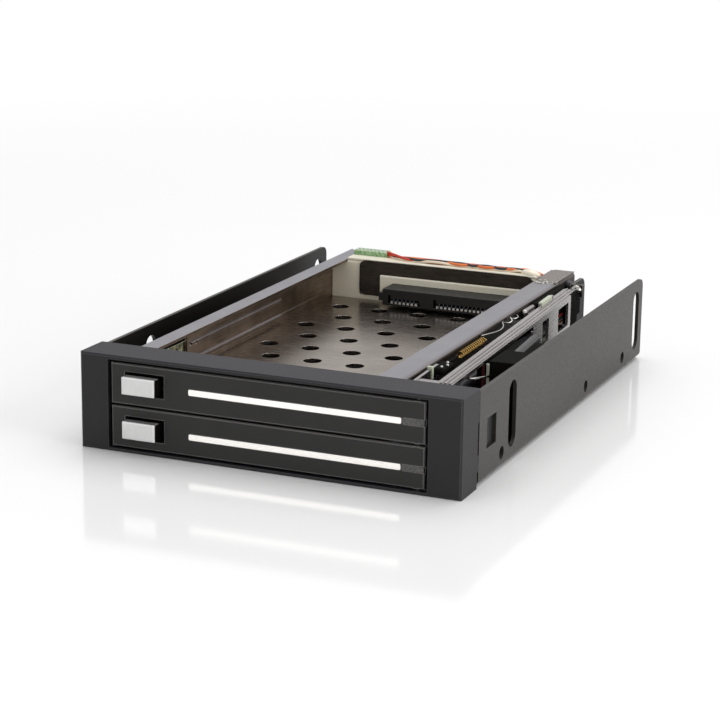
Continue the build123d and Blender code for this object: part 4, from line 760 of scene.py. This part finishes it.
# Lighting lead: wires that rise from the header and run along the top of the board twisted round
# each other. Three of them go down and forward beside the cage, and two end under the glue
leadSizes = {
    "wire": 0.76,
    "pins": {"red": -26.4, "redTwo": -25.4, "black": -24.5, "orange": -22.6, "white": -23.5},
    "riser": ((139.8, 20.6), (139.8, 22.6)), "gather": (-26.2, 139.6, 24.2),
    "tops": {"red": 26.0, "redTwo": 25.4, "black": 25.1, "orange": 25.1, "white": 25.1},
    "crest": ((-26.2, 139.0, -0.3), (-25.4, 137.8, 0.0), (-23.0, 136.2, -0.05)),
    "middle": (134.3, 25.3), "frontShift": (-0.55, 0.12),
    "hidden": {  # where a wire lies while another is in front
        "red": (0.5, -0.3), "redTwo": (1.1, 0.1), "black": (0.25, 0.38), "orange": (0.75, 0.35),
        "white": (0.05, -0.38)},
    "order": (  # which wire is in front at each place across
        (-17.8, "red"), (-14.4, "black"), (-10.6, "white"), (-6.6, "white"), (-2.6, "orange"),
        (0.6, "orange"), (3.0, "black"), (5.7, "orange"), (8.7, "orange"), (11.7, "black"),
        (14.6, "orange"), (17.6, "white"), (19.8, "black")),
    "ends": ((21.6, 135.0, 24.6), (23.0, 136.2, 23.2), (24.2, 137.0, 22.4)),
    "lanes": {"red": 137.35, "black": 138.35, "orange": 139.35},  # behind the face, going across
    "runs": {"red": 14.85, "black": 13.8, "orange": 12.75},  # height beside the cage
    "leave": (22.0, 134.4, 24.7),
    "descent": ((23.6, 23.3), (25.0, 22.0), (30.0, 22.0), (32.2, 21.8)),
    "bend": (32.2, 3, 4),  # its place across, and its reach above the corner and before it
    "forward": (
        (32.2, 120), (32.2, 112), (32.2, 98), (32.2, 48), (33.4, 42), (46.0, 29), (46.2, 22),
        (46.2, 9.6))}
s = leadSizes
for colour, pinX in s["pins"].items():
    top = s["tops"][colour]
    points = [(pinX, behind, z) for behind, z in s["riser"]] + [s["gather"]]
    points += [(x, behind, top + dz) for x, behind, dz in s["crest"]]
    for x, front in s["order"]:
        dy, dz = s["frontShift"] if front == colour else s["hidden"][colour]
        points.append((x, s["middle"][0] + dy, s["middle"][1] + dz))
    if colour in s["lanes"]:
        lane, run = s["lanes"][colour], s["runs"][colour]
        leaveX, leaveBehind, leaveZ = s["leave"]
        bendX, above, before = s["bend"]
        points.append((leaveX, (lane + leaveBehind) / 2, leaveZ))
        points += [(x, lane, z) for x, z in s["descent"]]
        points += [(bendX, lane, run + above), (bendX, lane, run), (bendX, lane - before, run)]
        points += [(x, behind, run) for x, behind in s["forward"]]
    else:
        points += s["ends"]
    standsFor = {} if f"lead_{colour}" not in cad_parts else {
        "replaced": [f"lead_{colour}"], "slotName": f"wire_{colour}"}
    addPiece(
        f"wire_{colour}", curveMesh(f"wire_{colour}", [points], s["wire"] / 2),
        "redVinyl" if colour == "redTwo" else f"{colour}Vinyl", **standsFor)

shadeSleeves = {  # black sleeves round the wires beside the cage, painted shade that darkens the gap there
    "radius": 1.6, "paths": (
        ((27.5, 138.35, 21.6), (30.0, 138.35, 21.6), (32.2, 138.35, 21.5), (32.2, 138.35, 16.8),
         (32.2, 138.35, 13.8), (32.2, 136.0, 13.8), (32.2, 133.0, 13.8)),
        ((32.2, 120.5, 13.8), (32.2, 103.5, 13.8), (32.2, 75.0, 13.8), (32.2, 48.0, 13.8),
         (33.4, 42.0, 13.8), (39.7, 35.5, 13.8), (45.6, 29.5, 13.8), (46.2, 23.5, 13.8)))}
addPiece("wire_shade_sleeves", curveMesh("wire_shade_sleeves", shadeSleeves["paths"], shadeSleeves["radius"]),
         "blackVinyl")
print("lead laid")


# Glue over the end of the twisted wires: a lumpy bead, flat underneath
glueSizes = {
    "middle": (21.1, 134.2, 24.7), "reach": (3.0, 1.8, 1.3), "lumps": 0.2, "waves": 5,
    "waveRate": 2.6, "stray": 9, "seed": 4}
random.seed(glueSizes["seed"])
stray = glueSizes["stray"]
whole = bmesh.new()
bmesh.ops.create_icosphere(whole, subdivisions=4, radius=1)
waves = [Vector([random.uniform(-stray, stray) for _ in range(3)])
         for _ in range(glueSizes["waves"])]
for corner in whole.verts:
    swell = sum(math.sin(glueSizes["waveRate"] * corner.co.dot(wave.normalized()) + wave.x)
                for wave in waves) / len(waves)
    along = corner.co * (1 + glueSizes["lumps"] * swell)
    x, behind, z = [glueSizes["middle"][i] + along[i] * glueSizes["reach"][i] for i in range(3)]
    corner.co = place(x, behind, max(z, glueSizes["middle"][2]))
bmesh.ops.recalc_face_normals(whole, faces=whole.faces[:])
addPiece("glue_bead", keepMesh("glue", whole), "hotMeltGlue", replaced=["glue_blob"],
         slotName="glue")
print("glue laid")


# Cap on the rear frame, and the foam sheet with round corners that lies against its front
capSizes = {"low": (-36.1, 132.0, 23.9), "high": (23.3, 136.5, 24.7), "round": 0.3}
addPiece("frame_cap", boxMesh(capSizes["low"], capSizes["high"], capSizes["round"]),
         "naturalNylon", smooth=False)
sheetSizes = {
    "left": -31.9, "right": 22.4, "low": 13.95, "high": 24.35, "front": 131.55, "back": 132.05,
    "corner": 2.0, "cornerSteps": 6}
corners = []
for sideX, sideZ, inX, inZ, start in (
        ("left", "low", 1, 1, 180), ("right", "low", -1, 1, 270),
        ("right", "high", -1, -1, 0), ("left", "high", 1, -1, 90)):
    for step in range(sheetSizes["cornerSteps"] + 1):
        angle = math.radians(start + 90 / sheetSizes["cornerSteps"] * step)
        corners.append((sheetSizes[sideX] + sheetSizes["corner"] * (inX + math.cos(angle)),
                        sheetSizes[sideZ] + sheetSizes["corner"] * (inZ + math.sin(angle))))
foam = slabMesh("foam_sheet", [
    [place(x, sheetSizes[face], z) for x, z in corners] for face in ("front", "back")])
addPiece("foam_sheet", foam, "closedCellFoam", smooth=False)
print("foam sheet laid")


# Terminal block on the board's top edge, with a row of soldered joints
terminal = {
    "low": (-36.0, 136.6, 24.35), "high": (-25.3, 140.3, 26.1), "round": 0.3,
    "joints": 8, "pitch": 1.25, "firstJoint": (-35.1, 137.4, 26.0), "jointRadius": 0.42}
addPiece("terminal_block", boxMesh(terminal["low"], terminal["high"], terminal["round"]),
         "greenSolderMask", smooth=False)
joint = ballMesh(
    "joint", [terminal["firstJoint"]], terminal["jointRadius"], segments=10, rings=6)
joints = growMesh(rowTree, {
    "Count": terminal["joints"], "Step": (terminal["pitch"] / metre, 0, 0),
    "Material": finishes["tinPlatedBronze"]}, joint)
addPiece("solder_joints", joints)
print("terminal block made")


# Shield foil on the end bracket: a thin plate with a torn front edge, and the flakes off it
foil = {
    "low": 24.6, "high": 30.6, "front": 127.6, "back": 145.4, "bottom": 24.0, "top": 24.2,
    "teeth": 22, "slant": 1.8, "ragged": 1.6, "seed": 7}
random.seed(foil["seed"])
outline = []
for i in range(foil["teeth"] + 1):
    along = i / foil["teeth"]
    outline.append((foil["low"] + (foil["high"] - foil["low"]) * along,
                    foil["front"] + foil["slant"] * (1 - along)
                    + random.uniform(0, foil["ragged"])))
outline += [(foil["high"], foil["back"]), (foil["low"], foil["back"])]
plate = slabMesh("shield_foil", [
    [place(x, behind, foil[face]) for x, behind in outline] for face in ("bottom", "top")],
    torn=foil["teeth"])
addPiece("shield_foil", plate, "phosphatedSteel", "tornFoil", smooth=False)

flakes = {
    "count": 26, "across": (24.6, 30.4), "behind": (126.4, 130.2), "size": (0.25, 0.6),
    "bottom": 23.95, "top": 24.2, "curl": 0.2, "round": 0.03, "seed": 11}
random.seed(flakes["seed"])
bits = []
for i in range(flakes["count"]):
    x, behind = random.uniform(*flakes["across"]), random.uniform(*flakes["behind"])
    wide, deep = random.uniform(*flakes["size"]), random.uniform(*flakes["size"])
    top = flakes["top"] + random.uniform(0, flakes["curl"])
    bits.append(boxMesh((x, behind, flakes["bottom"]), (x + wide, behind + deep, top),
                        flakes["round"], segments=1))
addPiece("foil_flakes", joinMeshes("foil_flakes", bits), "tornFoil", smooth=False)
print("foil laid")


# Long pressed beads of the left wall
beadSizes = {
    "radius": 0.16, "lines": (
        ((-40.98, 50.7, 14.33), (-40.98, 121.6, 14.39)),
        ((-40.98, 54.7, 12.13), (-40.98, 115.6, 12.19)))}
addPiece("wall_beads", curveMesh("wall_beads", beadSizes["lines"], beadSizes["radius"], "POLY"),
         "rolledZincSteel")
print("beads pressed")


# Front of the slide guide: a pale strip, a dark red pad, a bright wire clip that reaches forward,
# and a round damper with a pin at its end
guideSizes = {
    "strip": ((41.25, 41.5, 12.6), (41.95, 42.0, 22.3), 0.08),
    "pad": ((40.0, 41.5, 12.6), (40.75, 42.0, 21.9), 0.08),
    "clip": ((43.0, 42.4, 19.0), (43.1, 40.5, 19.6), (43.4, 36.0, 20.6), (43.0, 32.0, 21.2),
             (41.6, 29.6, 21.3), (40.2, 30.2, 21.2), (39.8, 32.4, 21.0)), "clipRadius": 0.28,
    "damper": ((44.6, 54.1, 21.35), (43.2, 73.2, 21.35)), "damperRadius": 1.55,
    "pin": ((42.1, 73.85, 15.0), (42.1, 73.85, 23.4)), "pinRadius": 0.26}
s = guideSizes
addPiece("guide_strip", boxMesh(*s["strip"]), "paleNylon", smooth=False)
addPiece("guide_pad", boxMesh(*s["pad"]), "redSilicone", smooth=False)
for part, kind, finish in (
        ("clip", "NURBS", "nickelPlatedSteel"), ("damper", "POLY", "turnedAcetal"),
        ("pin", "POLY", "nickelPlatedSteel")):
    name = f"guide_{part}"
    addPiece(name, curveMesh(name, [s[part]], s[f"{part}Radius"], kind), finish)
print("guide fitted")


studio = {
    "floorColour": "#fbfbfb", "floorRoughness": 0.1, "floorReach": 3,
    "fade": (0.25, 0.6),  # how far away the floor goes over into the pale backdrop, in metres
    "worldLight": 0.62, "mirrored": 0.8,  # strength on the object, and where metal mirrors it
    "lamps": {  # place in metres, width, power in watts, and the spot that it faces
        "above": ((0.05, 0.5, 1.3), 1.3, 9.0, (0, 0, 0)),
        "front": ((-0.5, -1.3, 0.5), 0.9, 2.0, (0, 0, 0.01)),
        "side": ((1.3, -0.15, 0.45), 0.9, 9.0, (0, 0, 0.01))}}
reach = studio["floorReach"]
floorMesh = bpy.data.meshes.new("floor")
floorMesh.from_pydata(
    [(x * reach, y * reach, cadLow.z) for x, y in ((-1, -1), (1, -1), (1, 1), (-1, 1))],
    [], [range(4)])
floor = linkObject("floor", floorMesh)
floorMaterial = bpy.data.materials.new("polishedAcrylicSheet")  # white, with a soft mirror
floorMaterial.use_nodes = True
tree = floorMaterial.node_tree
shader = tree.nodes["Principled BSDF"]
shader.inputs["Base Color"].default_value = linear(studio["floorColour"])
shader.inputs["Roughness"].default_value = studio["floorRoughness"]
where = addNode(tree, "ShaderNodeTexCoord")
away = addNode(tree, "ShaderNodeVectorMath", {0: where.outputs["Object"]}, operation="LENGTH")
fade = addNode(tree, "ShaderNodeMapRange", {
    "Value": away.outputs["Value"], "From Min": studio["fade"][0], "From Max": studio["fade"][1]})
seen = addNode(tree, "ShaderNodeLightPath")
share = addNode(tree, "ShaderNodeMath", {
    0: fade.outputs["Result"], 1: seen.outputs["Is Camera Ray"]}, operation="MULTIPLY")
glow = addNode(tree, "ShaderNodeEmission", {"Strength": 1.0})
faded = addNode(tree, "ShaderNodeMixShader", {
    0: share.outputs["Value"], 1: shader.outputs["BSDF"], 2: glow.outputs["Emission"]})
tree.links.new(faded.outputs["Shader"], tree.nodes["Material Output"].inputs["Surface"])
floor.data.materials.append(floorMaterial)

world = bpy.data.worlds.new("studio")  # white to the camera, and softer as a light
bpy.context.scene.world = world
world.use_nodes = True
tree = world.node_tree
background = tree.nodes["Background"]
rays = addNode(tree, "ShaderNodeLightPath")
mirrored = addNode(tree, "ShaderNodeMapRange", {
    "Value": rays.outputs["Is Glossy Ray"], "To Min": studio["worldLight"],
    "To Max": studio["mirrored"]})
straight = addNode(tree, "ShaderNodeMath", {
    0: rays.outputs["Is Camera Ray"], 1: rays.outputs["Is Transmission Ray"]}, operation="MAXIMUM")
level = addNode(tree, "ShaderNodeMath", {
    0: straight.outputs["Value"], 1: mirrored.outputs["Result"]}, operation="MAXIMUM")
background.inputs["Color"].default_value = (1, 1, 1, 1)
tree.links.new(level.outputs["Value"], background.inputs["Strength"])

for lampName, (spot, width, power, target) in studio["lamps"].items():
    lamp = bpy.data.lights.new(lampName, "AREA")
    lamp.size = width
    lamp.energy = power
    holder = linkObject(lampName, lamp)
    holder.location = spot
    holder.rotation_euler = (Vector(target) - Vector(spot)).to_track_quat("-Z", "Y").to_euler()

view = {  # place in metres, and turn in degrees
    "lens": 110.04, "sensor": 36, "nearest": 0.01, "place": (0.22003859, -0.53088258, 0.16249706),
    "turn": (75.23373, -0.74264, 23.27874)}
cameraData = bpy.data.cameras.new("camera")
cameraData.lens = view["lens"]
cameraData.sensor_width = view["sensor"]
cameraData.clip_start = view["nearest"]
camera = linkObject("camera", cameraData)
camera.location = view["place"]
camera.rotation_euler = [math.radians(angle) for angle in view["turn"]]
bpy.context.scene.camera = camera
bpy.context.scene.view_settings.view_transform = "Standard"
print("floor, light and camera set")
